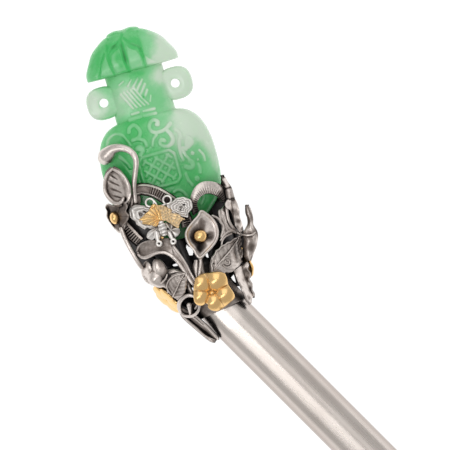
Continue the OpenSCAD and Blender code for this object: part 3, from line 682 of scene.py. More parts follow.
VASE_FULLNESS = 2.6
RELIEF = 0.22

# Sections of the stone: [height, half width, half thickness]
BODY = [(8.0, 2.2, 1.9), (8.5, 2.9, 2.2), (9.5, 4.2, 2.5), (11, 6.4, 2.9), (12.5, 8.0, 3.15), (14, 9.4, 3.3),
        (16, 10.6, 3.4), (18, 11.2, 3.45), (20.5, 11.5, 3.5), (23.5, 11.6, 3.5), (26.3, 11.45, 3.48),
        (28.8, 10.9, 3.4), (30.8, 10, 3.25), (32.3, 8.6, 3.05), (33.0, 7.3, 2.9), (33.3, 6.3, 2.75)]
NECK = [(33.45, 6.05, 2.6), (34.3, 6.05, 2.62), (36, 5.95, 2.7), (38, 5.95, 2.72), (41.5, 5.9, 2.7),
        (42.8, 5.9, 2.65)]
CAP = [(42.92, 9.0, 3.1), (43.0, 9.35, 3.3), (43.3, 9.42, 3.42), (44.5, 9.3, 3.66), (46.3, 8.38, 3.64),
       (48.3, 7.1, 3.35), (49.8, 5.2, 2.9), (50.5, 4.0, 2.6), (50.65, 3.5, 2.45), (51.1, 3.1, 2.2),
       (51.4, 2.2, 1.7), (51.55, 1.2, 1.1)]

# Raised strokes: [width, points]
SCROLLS = [
    [0.62, [(-4.2, 31.2), (-3.8, 32.0), (-2.9, 32.4), (-2.3, 31.8), (-2.0, 30.8), (-2.3, 30.0), (-3.0, 29.6),
            (-3.9, 29.5)]],
    [0.55, [(-3.0, 29.5), (-2.2, 29.2), (-1.6, 28.6), (-1.5, 27.7)]],
    [0.75, [(-3.5, 27.6), (-2.9, 27.8), (-2.45, 27.2), (-2.7, 26.7), (-3.2, 26.3)]],
    [0.62, [(1.8, 31.2), (1.9, 31.8), (1.2, 32.3), (0.4, 31.9), (0.0, 31.0), (0.3, 30.1), (1.1, 29.7)]],
    [0.6, [(1.1, 29.7), (2.2, 29.7), (3.2, 30.0), (4.2, 30.7)]],
    [0.5, [(-0.4, 27.4), (0.1, 28.5), (1.0, 29.3)]],
    [0.62, [(2.2, 27.7), (1.6, 28.1), (1.2, 27.5), (1.6, 26.8), (2.6, 26.5), (3.5, 26.9), (3.9, 27.7),
            (3.7, 28.7), (3.3, 29.5)]],
    [0.5, [(4.9, 29.3), (5.5, 28.6), (5.5, 27.9), (5.0, 26.8), (4.7, 25.5), (4.6, 24.2), (4.8, 23.0)]],
    [0.7, [(6.2, 25.4), (6.8, 27.1), (7.3, 26.1), (6.4, 25.3)]],
    [0.5, [(5.9, 24.9), (5.3, 25.3), (5.4, 24.0), (5.9, 23.0)]],
    [0.75, [(4.9, 21.6), (5.5, 21.2), (6.2, 21.3), (6.4, 22.0), (6.0, 22.5)]],
    [0.4, [(7.5, 21.4), (7.55, 20.6), (7.4, 19.7)]],
    [0.4, [(8.4, 24.0), (8.9, 22.9), (8.9, 21.8)]],
    [0.5, [(4.5, 20.2), (4.7, 18.9), (5.2, 17.7)]],
    [0.4, [(-9.0, 29.9), (-8.4, 31.0), (-7.0, 31.6), (-5.6, 31.0), (-4.9, 29.6), (-4.6, 28.6)]],
    [0.5, [(-7.3, 27.0), (-6.7, 26.2), (-6.1, 25.3), (-5.8, 24.4)]],
    [0.5, [(1.2, 17.4), (2.1, 17.6), (3.0, 17.0), (3.5, 15.9)]],
    [0.4, [(6.7, 15.3), (6.5, 14.4), (5.8, 13.7)]],
    [0.5, [(-3.4, 33.55), (-1.0, 33.55)]], [0.5, [(-0.4, 33.55), (2.0, 33.45)]],
    [0.45, [(-2.6, 34.5), (-1.2, 34.5)]], [0.45, [(-0.2, 34.5), (2.0, 34.4)]],
]
HATCHES = [[0.4, [(-3.7 + 0.72 * k, 38.9 + 0.12 * k), (-2.9 + 0.76 * k, 37.3), (-2.1 + 0.8 * k, 35.6)]]
           for k in range(5)]
HATCHES += [[0.34, [(-1.9, 40.1), (-0.9, 41.2)]], [0.4, [(-1.1, 39.5), (0.4, 41.1)]],
            [0.46, [(-0.3, 38.9), (1.2, 40.7)]], [0.5, [(0.2, 38.0), (1.5, 39.6)]],
            [0.5, [(0.8, 37.2), (1.6, 38.4)]],
            [0.4, [(1.6, 36.1), (2.0, 37.1)]], [0.3, [(-3.5, 40.8), (-2.5, 41.3)]]]
# Petals of the cap, as closed outlines, and the grooves between them
PETALS = [
    [(-6.7, 43.5), (-6.3, 44.4), (-5.8, 45.6), (-5.0, 46.7), (-4.4, 47.3), (-4.4, 46.0), (-4.2, 44.2),
     (-4.05, 43.1), (-5.5, 43.1)],
    [(-3.7, 44.4), (-3.85, 45.6), (-3.5, 46.8), (-2.6, 47.6), (-1.4, 48.1), (-1.25, 46.0), (-1.2, 43.2),
     (-3.3, 43.2)],
    [(0.0, 48.3), (0.6, 47.3), (1.7, 46.6), (2.2, 45.4), (2.3, 44.0), (2.1, 43.1), (-0.3, 43.1),
     (-0.45, 44.6), (-0.35, 46.4)],
    [(3.0, 45.8), (3.4, 44.8), (4.2, 43.9), (5.2, 43.1), (2.9, 43.1), (2.8, 44.4)],
]
GROOVES = [
    [0.5, [(-0.9, 49.4), (-0.85, 47.0), (-0.75, 43.0)]],
    [0.4, [(-3.9, 49.0), (-4.15, 47.6), (-4.15, 45.6), (-3.8, 43.0)]],
    [0.4, [(-0.2, 49.6), (0.9, 48.2), (2.3, 47.0), (2.6, 45.2), (2.6, 43.0)]],
    [0.35, [(-1.5, 49.2), (-3.0, 48.2), (-4.1, 47.2)]],
    [0.3, [(-6.9, 43.0), (-5.9, 45.9), (-4.8, 47.6)]],
    [0.3, [(-3.6, 50.8), (-3.2, 50.1)]], [0.3, [(3.3, 50.8), (2.9, 50.1)]],
    [0.4, [(0.0, 51.6), (-0.3, 50.4), (-0.8, 49.4)]],
]
# Filled raised areas: ellipses of [x, y, half width, half height]
SPOTS = [(6.9, 23.8, 0.42, 0.42), (6.45, 18.7, 0.5, 0.55), (7.6, 22.3, 0.25, 0.3), (5.5, 28.0, 0.4, 0.9),
         (1.6, 31.3, 0.45, 0.45), (-4.1, 31.3, 0.4, 0.4), (-3.0, 27.4, 0.6, 0.5), (2.0, 27.9, 0.5, 0.45)]
LATTICE_HALF = (3.7, 3.3)
LATTICE_PLACE = (-0.3, 22.4)


def lattice_strokes():
    """A diagonal lattice in a frame with cut corners, in the middle of the body."""
    wide, high = LATTICE_HALF
    cut = 0.9
    x, y = LATTICE_PLACE
    corners = [(-wide + cut, high), (wide - cut, high), (wide, high - cut), (wide, -high + cut),
               (wide - cut, -high), (-wide + cut, -high), (-wide, -high + cut), (-wide, high - cut)]
    loop = corners + corners[:1]
    strokes = [[0.6, [(x + a[0], y + a[1]), (x + b[0], y + b[1])]] for a, b in zip(loop, loop[1:])]
    inner_w, inner_h = wide - 0.75, high - 0.75
    step = 2.35
    for way in (-1, 1):
        for k in range(-4, 5):
            px = np.linspace(-8, 8, 641)
            py = way * px + k * step
            inside = (abs(px) <= inner_w) & (abs(py) <= inner_h)
            inside &= abs(px) + abs(py) <= inner_w + inner_h - 0.5
            ends = np.stack([x + px, y + py], -1)[inside]
            if len(ends) > 12:
                strokes.append([0.58, [ends[0], ends[-1]]])
    return strokes


def area_height(x, y, rows, soft_edge=0.25):
    """Share of the relief, 1 inside a closed outline and 0 outside it."""
    line = np.array([*rows, rows[0]], float)
    low, top = line.min(0), line.max(0)
    near = (x > low[0]) & (x < top[0]) & (y > low[1]) & (y < top[1])
    high = np.zeros_like(x)
    if not near.any():
        return high
    px, py = x[near][:, None], y[near][:, None]
    a, b = line[:-1], line[1:]
    way = b - a
    crosses = ((a[:, 1] > py) != (b[:, 1] > py)) & (
        px < a[:, 0] + way[:, 0] * (py - a[:, 1]) / np.where(way[:, 1] == 0, 1e-9, way[:, 1]))
    inside = crosses.sum(1) % 2 == 1
    q = np.clip(((px - a[:, 0]) * way[:, 0] + (py - a[:, 1]) * way[:, 1]) / (way ** 2).sum(1), 0, 1)
    far = np.hypot(px - a[:, 0] - way[:, 0] * q, py - a[:, 1] - way[:, 1] * q).min(1)
    high[near] = soft(far / soft_edge) * inside
    return high


def stroke_height(x, y, strokes, soft_edge=0.3):
    """Share of the relief, 1 on a stroke and 0 off it."""
    high = np.zeros_like(x)
    for width, rows in strokes:
        rows = np.asarray(rows, float)
        line = rows if len(rows) == 2 else smoothed(rows, 6 * len(rows))
        low, top = line.min(0) - width, line.max(0) + width
        near = (x > low[0]) & (x < top[0]) & (y > low[1]) & (y < top[1])
        if not near.any():
            continue
        px, py = x[near][:, None], y[near][:, None]
        a, b = line[:-1], line[1:]
        way = b - a
        q = ((px - a[:, 0]) * way[:, 0] + (py - a[:, 1]) * way[:, 1]) / np.maximum((way ** 2).sum(1), 1e-9)
        q = np.clip(q, 0, 1)
        far = np.hypot(px - a[:, 0] - way[:, 0] * q, py - a[:, 1] - way[:, 1] * q).min(1)
        high[near] = np.maximum(high[near], soft((width / 2 + soft_edge / 2 - far) / soft_edge))
    return high


def vase_relief(x, y):
    """Share of the relief at places on the vase's face; the cap's grooves are below 0."""
    wider = [[1.25 * width, rows] for width, rows in SCROLLS]
    high = stroke_height(x, y, wider + lattice_strokes())
    high = np.maximum(high, 0.9 * stroke_height(x, y, HATCHES))
    for cx, cy, rx, ry in SPOTS:
        high = np.maximum(high, soft((1.12 - np.hypot((x - cx) / rx, (y - cy) / ry)) / 0.3))
    for rows in PETALS:
        high = np.maximum(high, 0.7 * area_height(x, y, rows))
    return high - 0.6 * stroke_height(x, y, GROOVES, 0.5)


# Zones of colour: [x, y, half width, half height, amount of green]; the pale zones at the right shoulder,
# the right of the cap and the ears are partly painted reflection of a softbox
ZONES = [
    (-6.5, 46.0, 2.6, 2.6, 0.14), (-2.0, 45.4, 0.9, 2.0, 0.5), (-0.95, 46.2, 0.35, 2.3, 0.4),
    (-2.4, 48.4, 1.8, 0.7, 0.4), (1.6, 48.0, 1.4, 1.2, 0.35), (2.6, 46.6, 0.4, 1.8, 0.3),
    (-1.5, 50.3, 4.0, 1.2, 0.05),
    (9.0, 46.0, 3.9, 5.4, -0.72), (4.6, 44.4, 1.6, 2.4, -0.2), (4.6, 49.0, 2.4, 1.4, -0.1),
    (-9.3, 38.3, 2.8, 4.2, -0.72), (8.8, 38.3, 3.0, 4.4, -0.75), (-8.3, 38.0, 0.5, 1.3, 0.3),
    (4.2, 36.2, 2.4, 2.4, 0.1), (-3.6, 38.0, 2.6, 3.6, -0.36), (0.6, 37.2, 0.25, 0.25, 0.5),
    (0.0, 40.0, 3.0, 1.6, -0.12), (0.8, 41.9, 1.8, 0.7, 0.2), (-3.0, 34.6, 3.0, 0.9, -0.05),
    (-3.6, 30.0, 2.8, 3.4, 0.26), (-5.8, 23.6, 2.8, 4.6, 0.38), (-1.5, 24.5, 2.6, 3.0, 0.12),
    (9.9, 31.5, 5.5, 5.8, -0.72), (11.2, 25.0, 1.8, 7.0, -0.5), (7.0, 22.5, 2.4, 3.2, 0.1),
    (-10.2, 29.8, 2.2, 3.0, -0.16), (1.5, 19.4, 4.5, 2.6, 0.26), (-1.5, 33.0, 3.0, 0.8, 0.25),
    (5.4, 28.0, 3.0, 3.0, -0.24), (10.0, 17.5, 1.8, 3.0, -0.05), (0.0, 13.0, 9.0, 4.0, 0.3),
    (-5.0, 20.5, 1.6, 1.2, 0.4), (-5.0, 17.4, 0.9, 1.1, 0.6), (1.5, 31.0, 1.6, 1.4, -0.16),
    (4.6, 40.4, 2.2, 1.6, -0.28), (1.5, 38.4, 3.0, 2.6, -0.12), (-5.0, 35.6, 1.4, 1.6, -0.15),
]


def jade_tones(x, y):
    """Shares of green and of shadow for points of the stone."""
    green = np.full_like(x, 0.56)
    for cx, cy, rx, ry, amount in ZONES:
        green += amount * np.exp(-((x - cx) / rx) ** 2 - ((y - cy) / ry) ** 2)
    # Painted shadow low on the stone, where it sits in the cup, and over the middle of its body.
    painted_shadow = 0.8 * soft((16.5 - y) / 8.5) + 0.25 * soft((20 - y) / 5)
    painted_shadow += 0.3 * np.exp(-((x - 2.5) / 7) ** 2 - ((y - 22.5) / 4.5) ** 2)
    # Near-black painted shadow beside the butterfly's left wing.
    painted_shade_patch = soft((15.6 - y) / 1.6) * soft((-5.2 - x) / 1.5)
    return green, np.clip(painted_shadow, 0, 0.92) + painted_shade_patch


def oval_shares(front, back):
    """Points of a full oval, [share of the half width, of the half thickness], denser in front."""
    a = np.linspace(0, np.pi, 2000)
    x = np.sign(np.cos(a)) * np.abs(np.cos(a)) ** (2 / VASE_FULLNESS)
    z = np.sin(a) ** (2 / VASE_FULLNESS)
    far = np.concatenate([[0], np.cumsum(np.hypot(np.diff(x) * 11, np.diff(z) * 3.5))])

    def spread(count):
        q = np.linspace(0, far[-1], count, endpoint=False)
        return np.stack([np.interp(q, far, x), np.interp(q, far, z)], 1)
    return np.vstack([spread(front), -spread(back)])


def head_shell(name, points, faces):
    """Object of a closed mesh from points in the head's frame."""
    x, y = pin_xy(points[:, 0], points[:, 1])
    mesh = bpy.data.meshes.new(name)
    mesh.from_pydata(to_rest(np.stack([x, y, points[:, 2]], -1)).tolist(), [], faces)
    face_outwards(mesh)
    shell = bpy.data.objects.new(name, mesh)
    bpy.context.scene.collection.objects.link(shell)
    return shell


def ear_points(side):
    """An ear: a rounded slab with a hole, swept round its edge; rings from the hole out and back."""
    middle, rise, reach, low = 7.4, 38.2, 10.85, 4.4
    half_high, half_thick, hole_r = 3.3, 1.7, 0.9
    count = 96
    a = np.arange(count) / count * 2 * np.pi
    across = np.where(np.cos(a) > 0, reach - middle, middle - low)
    ex = across * np.sign(np.cos(a)) * np.abs(np.cos(a)) ** (2 / VASE_FULLNESS)
    ey = half_high * np.sign(np.sin(a)) * np.abs(np.sin(a)) ** (2 / VASE_FULLNESS)
    hx, hy = hole_r * np.cos(a), hole_r * np.sin(a)
    rows = [(0, 0.93), (0.012, 0.98), (0.05, 1.0), (0.35, 1.0), (0.8, 0.97), (0.92, 0.86), (0.98, 0.6),
            (1.0, 0.0)]
    rows += [(q, -z) for q, z in rows[-2::-1]]
    return np.array([np.stack([side * (middle + hx + (ex - hx) * q), rise + hy + (ey - hy) * q,
                               np.full(count, half_thick * z)], -1) for q, z in rows])


def jade_piece():
    """The carved stone: body, neck and cap as one loft, with both ears joined to it."""
    rows = np.vstack([smoothed(part, count) for part, count in ((BODY, 185), (NECK, 60), (CAP, 85))])
    shares = oval_shares(200, 90)
    n, k = len(rows), len(shares)
    x = rows[:, 1:2] * shares[:, 0]
    y = np.repeat(rows[:, :1], k, 1)
    z = rows[:, 2:3] * shares[:, 1]
    saddle = 0.42 * np.exp(-(x / 0.9) ** 2) * soft((y - 50.6) / 0.6)
    front = soft((shares[:, 1] - 0.35) / 0.3)[None]
    z += RELIEF * vase_relief(x.ravel(), y.ravel()).reshape(x.shape) * front
    points = np.stack([x, y - saddle, z], -1)
    points = np.vstack([points.reshape(-1, 3), points[0].mean(0), points[-1].mean(0)])
    vase = head_shell("vase_shell", points, capped_faces(n, k))
    ears = []
    for side in (-1, 1):
        rings = ear_points(side)
        ear = head_shell("ear_shell", rings.reshape(-1, 3), ring_quads(*rings.shape[:2], True).tolist())
        union = vase.modifiers.new("union", "BOOLEAN")
        union.operation = "UNION"
        union.solver = "MANIFOLD"
        union.object = ear
        ears.append(ear)
    bpy.context.view_layer.update()
    mesh = bpy.data.meshes.new_from_object(vase.evaluated_get(bpy.context.evaluated_depsgraph_get()))
    mesh.name = "carved_jade_vase"
    for shell in (vase, *ears):
        bpy.data.objects.remove(shell)
    rest = np.empty(len(mesh.vertices) * 3)
    mesh.vertices.foreach_get("co", rest)
    x, y, z = (from_rest(rest.reshape(-1, 3)) @ HEAD_AXES.T).T
    green, painted_shadow = jade_tones(x, y)
    raised = vase_relief(x, y) * soft((z - 0.5) / 1.0)
    for title, values in (("green", green), ("raised", raised), ("painted_shadow", painted_shadow)):
        mesh.attributes.new(title, "FLOAT", "POINT").data.foreach_set("value", values.astype(np.float32))
    mesh.materials.clear()
    finish_piece(mesh, "carved_jade_vase", "jade_vase", JADE)


# The openwork cup

def cup_stems():
    """Tendril, flower stems, twigs and the bell flower's rim; rows are [u, v, lift, radius]."""
    s = Shapes()
    # Tendril that curls over the vase
    s.stem([(-6.6, 17.6, 0.2, 0.5), (-6.35, 19.2, 0.4, 0.5), (-5.9, 21.2, 0.9, 0.5), (-5.0, 23.4, 1.1, 0.52),
            (-4.4, 25.0, 1.2, 0.55), (-4.35, 26.4, 1.2, 0.6), (-5.1, 27.8, 1.1, 0.65),
            (-6.5, 28.7, 1.0, 0.78), (-8.0, 28.85, 0.9, 1.0), (-9.2, 28.3, 0.8, 1.45),
            (-10.0, 27.75, 0.7, 1.6), (-10.3, 27.5, 0.6, 1.35)],
           90, thick=0.75)
    # Main stem of the trumpet flower, with its bright rolled rim
    s.stem([(-8.9, 7.9, 0.9, 0.2), (-8.8, 7.1, 1.0, 0.32), (-8.0, 6.5, 1.1, 0.38), (-6.9, 6.5, 1.1, 0.38),
            (-5.4, 6.75, 1.1, 0.36), (-4.0, 6.5, 1.1, 0.36), (-2.9, 5.7, 1.0, 0.38), (-2.0, 4.4, 0.8, 0.4),
            (-1.3, 2.7, 0.6, 0.42), (-0.8, 1.0, 0.5, 0.44), (-0.2, -0.6, 0.4, 0.46), (0.9, -2.6, 0.2, 0.5)],
           80)
    s.stem([(-2.1, 8.3, 0.7, 0.16), (-1.6, 6.6, 0.7, 0.2), (-0.9, 4.6, 0.6, 0.22), (-0.35, 2.6, 0.5, 0.24),
            (-0.1, 0.9, 0.4, 0.26), (0.3, -0.9, 0.3, 0.3)], 50)
    # Stem of the front calla
    s.stem([(2.75, 3.6, 0.7, 0.3), (2.55, 2.6, 0.7, 0.34), (2.1, 1.4, 0.6, 0.36), (1.6, 0.2, 0.5, 0.4),
            (1.4, -1.2, 0.3, 0.42)], 40)
    # Twigs at the right of the calla
    for rows in (
        [(7.3, 10.8, 0.6, 0.24), (8.2, 10.0, 0.7, 0.26), (8.6, 9.0, 0.7, 0.28), (8.8, 7.9, 0.6, 0.28),
         (8.2, 6.9, 0.5, 0.26), (7.8, 6.3, 0.4, 0.24)],
        [(11.3, 12.5, 0.9, 0.45), (10.5, 11.6, 0.9, 0.36), (10.2, 10.2, 0.9, 0.34), (10.2, 8.8, 0.9, 0.34),
         (10.5, 7.5, 0.9, 0.34), (11.1, 6.4, 0.8, 0.34), (11.7, 5.7, 0.8, 0.3)],
        [(9.35, 11.3, 0.5, 0.2), (9.5, 10.8, 0.6, 0.34), (9.6, 9.6, 0.6, 0.26), (9.55, 8.5, 0.6, 0.26),
         (9.8, 7.4, 0.6, 0.3), (10.4, 6.7, 0.7, 0.3), (11.3, 6.0, 0.7, 0.28)],
        [(7.6, 5.7, 0.5, 0.22), (8.5, 6.5, 0.6, 0.25), (9.8, 6.85, 0.7, 0.26), (10.9, 6.3, 0.7, 0.26),
         (11.5, 5.8, 0.6, 0.24)],
        [(7.5, 4.5, 0.5, 0.18), (7.8, 5.4, 0.6, 0.2), (8.7, 6.1, 0.6, 0.2), (10.0, 6.3, 0.6, 0.18)],
        [(11.6, 5.4, 0.6, 0.3), (11.2, 4.2, 0.5, 0.26), (10.7, 3.0, 0.4, 0.22), (10.6, 2.0, 0.3, 0.2)],
        [(-10.8, 13.2, 1.6, 0.42), (-10.7, 11.6, 1.8, 0.45), (-10.35, 9.8, 1.8, 0.48), (-9.8, 7.6, 1.6, 0.5),
         (-9.3, 5.6, 1.4, 0.5), (-9.0, 4.6, 1.2, 0.4)],
        [(-9.6, 14.9, 0.9, 0.3), (-9.9, 13.8, 1.0, 0.32), (-10.5, 12.9, 1.0, 0.32)],
        [(-7.0, 18.8, 0.0, 0.4), (-7.4, 17.4, 0.0, 0.4), (-8.4, 15.8, 0.0, 0.35), (-9.6, 14.9, 0.4, 0.3)],
        [(-8.9, 4.6, 0.2, 0.3), (-9.1, 3.2, 0.0, 0.3), (-8.8, 1.8, 0.0, 0.3), (-8.0, 0.9, 0.0, 0.3)],
        [(-0.9, -6.0, 0.1, 0.26), (0.0, -5.2, 0.1, 0.24), (0.6, -4.4, 0.0, 0.24)],
    ):
        s.stem(rows, 36)
    # Bell flower: its rim and its pistil
    wire = 0.36 + 0.1 * np.sin(np.linspace(0, 2 * np.pi, 60, endpoint=False) + 2.4)
    s.rim([(-2.9, -3.4), (-1.6, -3.1), (-0.4, -3.8), (0.1, -5.2), (-0.5, -6.6), (-1.7, -7.3), (-3.1, -7.0),
           (-3.9, -5.9), (-3.8, -4.4)], 0.7, wire, 60, 0.9)
    s.stem([(-1.9, -5.0, 0.6, 0.5), (-2.0, -5.8, 0.5, 0.42), (-2.1, -6.7, 0.3, 0.34)], 20)
    s.make("silver_stems", "openwork_cup", SILVER)


def cup_ribbons():
    """Flat ribbons with ribs across them, and the arch over the right of the vase."""
    s = Shapes()

    def ribbon(rows, half, lift, form, count=90):
        """Ribbon along a line; half holds its half widths, evenly spaced over its length."""
        line = smoothed(rows, count)
        way = unit(np.gradient(line[:, :2], axis=0))
        side = np.stack([way[:, 1], -way[:, 0]], 1)
        half = np.interp(np.linspace(0, 1, count), np.linspace(0, 1, len(half)), half)
        w = np.linspace(-1, 1, 25)
        uv = line[:, None, :2] + side[:, None] * (half[:, None] * w)[..., None]
        height, oxide_and_shade = form(np.linspace(0, 1, count)[:, None], w[None])
        s.sheet(face(uv[..., 0], uv[..., 1], lift + height), 0.7, oxide_and_shade)
    ribbon([(-6.2, 19.7), (-5.0, 19.75), (-3.6, 19.2), (-2.2, 18.3), (-0.9, 17.0), (0.3, 15.6), (1.2, 14.2),
            (1.8, 12.8), (2.1, 11.5), (2.0, 10.1)], (0.7, 0.8, 0.85, 0.85, 0.8, 0.75), 0.5,
           double_ribs, 220)
    ribbon([(-10.2, 13.9), (-9.9, 12.9), (-9.4, 11.8), (-8.8, 10.7), (-8.1, 9.7)],
           (0.55, 0.75, 0.75, 0.65), 0.9, ribbed(9, 0.08, 0.98, 0.25, 0.68))
    # Dark web between the tendril and the long ribbon
    s.plate([(-6.7, 19.5), (-5.6, 19.3), (-5.5, 18.3), (-5.75, 17.2), (-6.3, 16.7), (-6.8, 17.6)],
            (-6.15, 18.3), 0.2,
            dull_dish(0.1, 0.6, 0.0))
    # Arch over the right of the vase
    outer = [(3.6, 11.9), (3.5, 13.6), (4.1, 15.5), (5.4, 17.1), (7.2, 17.8), (9.2, 17.3), (10.8, 16.1),
             (11.3, 14.6), (11.0, 12.9)]
    inner = [(5.0, 12.4), (5.0, 13.6), (5.3, 14.4), (6.1, 15.1), (7.1, 15.4), (8.2, 15.2), (9.2, 14.5),
             (9.8, 13.7), (9.9, 12.9)]
    s.leaf(outer, inner, (0.5, 0.9, 1.2, 1.3, 1.1, 0.7), arch_lines, 0.7, 240, 33)
    s.make("ribbed_ribbons", "openwork_cup", SILVER)


def dull_dish(height, middle, edge):
    """Low dome, with its share of recess and painted shade in the middle and what its edge adds to that."""
    def form(q, a):
        return height * (1 - q) + 0 * a, middle + edge * q + 0 * a
    return form


def double_ribs(a, w):
    """Ribs on two stretches of the long ribbon."""
    upper, upper_deep = ribbed(30, 0.2, 0.5, 0.25, 0.6)(a, w)
    lower, lower_deep = ribbed(30, 0.8, 0.99, 0.22, 0.65)(a, w)
    return np.maximum(upper, lower), np.minimum(upper_deep, lower_deep)


def arch_lines(a, w):
    """Fine lines across the arch, pale on its crown and dark at its feet."""
    wave = 0.5 + 0.5 * np.cos(2 * np.pi * 25 * a)
    inward = soft((w + 0.35) / 0.8)
    crown = soft((a - 0.16) / 0.16) * soft((0.86 - a) / 0.12)
    height = 0.35 * (1 - w * w) + 0.1 * wave * (0.2 + 0.8 * inward)
    oxide_and_shade = 0.7 * (1 - crown) + (1 - wave) * (0.1 + 0.9 * inward) * 0.6 - 0.12 * crown
    return height, np.clip(oxide_and_shade, 0, 1)


def cup_leaves():
    """Leaves, webs and plain bars of the cup, and the side flower."""
    s = Shapes()
    # Upper left leaf: a pointed hollow with four slanting veins and a curled lip
    left = [(-9.4, 17.9), (-10.6, 18.2), (-11.7, 19.6), (-12.0, 21.4), (-11.5, 23.2), (-10.6, 24.5),
            (-9.3, 25.2)]
    right = [(-8.9, 17.9), (-7.9, 18.6), (-7.2, 20.0), (-7.05, 21.4), (-7.5, 23.0), (-8.3, 24.5),
             (-9.2, 25.2)]

    def slant(a, w):
        phase = (6.2 * a + 1.3 * w + 0.35 * w * w) % 1 - 0.5
        groove = np.exp(-(phase / 0.14) ** 2) * soft((a - 0.16) / 0.1) * soft((0.84 - a) / 0.1)
        groove = groove * soft((w + 0.75) / 0.5) * soft((0.45 - w) / 0.3)
        edge = np.abs(w) ** 2.4
        # Painted shade darkens the leaf's base and a band near its right rim.
        shade = soft((0.24 - a) / 0.15) * (1 - edge) + 0.45 * np.exp(-((w - 0.62) / 0.16) ** 2)
        height = 0.75 * edge - 0.2 * groove + 0.15 * np.sin(9 * a)
        return height, np.clip(0.1 + 0.6 * groove + 0.75 * shade, 0, 1)
    s.leaf(left, right, 0.9, slant, 0.5, 90, 49)
    for rows in (
        [(-9.3, 25.15, 1.75, 0.26), (-8.2, 24.1, 1.8, 0.34), (-7.4, 22.7, 1.8, 0.36),
         (-7.1, 21.0, 1.7, 0.36), (-7.25, 19.6, 1.4, 0.34), (-7.8, 18.2, 1.0, 0.3), (-8.3, 17.4, 0.6, 0.22)],
        [(-9.3, 25.15, 1.75, 0.26), (-10.6, 24.3, 1.9, 0.32), (-11.5, 22.9, 2.1, 0.34),
         (-11.9, 21.2, 2.1, 0.36), (-11.6, 19.8, 1.9, 0.38), (-10.9, 18.7, 1.7, 0.4),
         (-10.0, 18.2, 1.6, 0.4), (-9.2, 18.4, 1.6, 0.36), (-8.75, 18.9, 1.5, 0.3)],
    ):
        s.stem(rows, 70)
    # Side flower that carries the left bead
    flower = [(-12.7, 18.1), (-12.0, 18.6), (-11.0, 18.0), (-10.2, 18.6), (-8.9, 18.3), (-8.4, 17.2),
              (-9.0, 16.3), (-8.7, 15.3), (-9.4, 14.3), (-10.3, 13.6), (-10.8, 12.7), (-11.5, 12.6),
              (-12.1, 13.6), (-12.6, 14.9), (-12.9, 16.2), (-12.6, 17.2)]

    def petals(q, a):
        seam = np.exp(-((np.cos(2.5 * (a - 0.35))) / 0.16) ** 2)
        lip = soft((q - 0.8) / 0.2)
        height = -0.5 * (1 - q) ** 1.5 - 0.1 * seam * q + 0.18 * lip
        return height, np.clip(0.62 + 0.2 * seam - 0.35 * lip, 0, 1)
    s.plate(flower, (-11.0, 15.8), 1.5, petals, 0.5, 120, 20)
    # Hollow behind the butterfly's left wing, darkened as painted shade
    s.leaf([(-9.2, 15.6), (-8.8, 17.0), (-8.0, 18.0), (-7.2, 18.2)],
           [(-9.2, 14.9), (-8.0, 15.8), (-7.2, 16.6), (-6.9, 17.6)], -0.2, hollow(0.3, 0.7))
    # Lower left leaf with its midrib, and the sepal under the bud
    s.leaf([(-5.0, -2.1), (-5.4, -1.0), (-5.2, 0.2), (-4.4, 1.0), (-3.2, 1.5), (-1.2, 1.35)],
           [(-3.9, -3.5), (-2.8, -2.8), (-2.1, -1.9), (-1.6, -0.9), (-1.25, 0.1), (-1.0, 1.2)], 0.8,
           veined(7, 1.4, 0.25, 0.055, 0.16, False), 0.5, 100, 49)
    s.stem([(-4.6, -2.6, 1.2, 0.1), (-3.5, -1.3, 1.25, 0.12), (-2.3, 0.2, 1.3, 0.12),
            (-1.1, 1.25, 1.15, 0.1)], 30)
    s.stem([(-4.9, -1.9, 1.05, 0.12), (-5.2, -0.4, 1.15, 0.14), (-4.5, 0.8, 1.2, 0.15),
            (-3.0, 1.45, 1.2, 0.15), (-1.1, 1.3, 1.15, 0.12)], 40)
    # Tail leaf along the shaft's left side
    s.leaf([(-3.9, -5.2), (-3.9, -6.6), (-3.2, -8.0), (-2.3, -9.4), (-1.0, -11.3), (0.3, -13.0),
            (1.2, -13.5)],
           [(-1.6, -7.2), (-1.0, -8.3), (-0.3, -9.4), (0.5, -10.7), (1.1, -12.0), (1.6, -13.0),
            (1.5, -13.5)],
           (0.1, -0.1, -0.6, -0.9), hollow(0.4, 0.6), 0.5)
    s.stem([(-3.9, -6.2, 0.6, 0.3), (-3.1, -7.9, 0.4, 0.3), (-1.9, -9.8, 0.0, 0.28),
            (-0.4, -12.1, -0.4, 0.26), (1.2, -13.4, -0.6, 0.22)], 40)
    s.stem([(-2.2, -7.0, 0.5, 0.26), (-1.4, -8.1, 0.3, 0.24), (-0.4, -9.6, 0.1, 0.2)], 24)
    # Right leaf: serrated, with a midrib to its tip and a curl at its foot
    upper = serrated([(4.2, 0.2), (4.7, 1.6), (5.3, 2.8), (6.3, 3.8), (7.9, 4.5), (9.6, 4.8), (11.5, 5.3)],
                     7)
    lower = serrated([(4.7, -0.1), (6.0, -0.4), (7.4, -1.0), (8.8, -0.7), (10.0, -0.2), (10.9, 1.4),
                      (11.3, 3.2), (11.6, 5.2)], 5)
    s.leaf(upper, lower, (0.7, 0.9, 1.0, 1.0), veined(9, 1.8, -0.2, 0.05, 0.16, False), 0.5, 120, 45)
    s.stem([(4.7, 0.5, 0.7, 0.1), (6.5, 1.7, 0.95, 0.14), (8.5, 2.95, 1.2, 0.16), (10.1, 4.1, 1.3, 0.17),
            (11.2, 5.0, 1.2, 0.16)], 40)
    for start, sweep, r in ((200, 300, 0.95), (120, 320, 0.45)):
        s.ring(7.6, 1.1, 0.98, r, 0.13, start, sweep)
    s.stem([(u, v, 1.05, 0.14) for u, v in upper[::4]], 80)
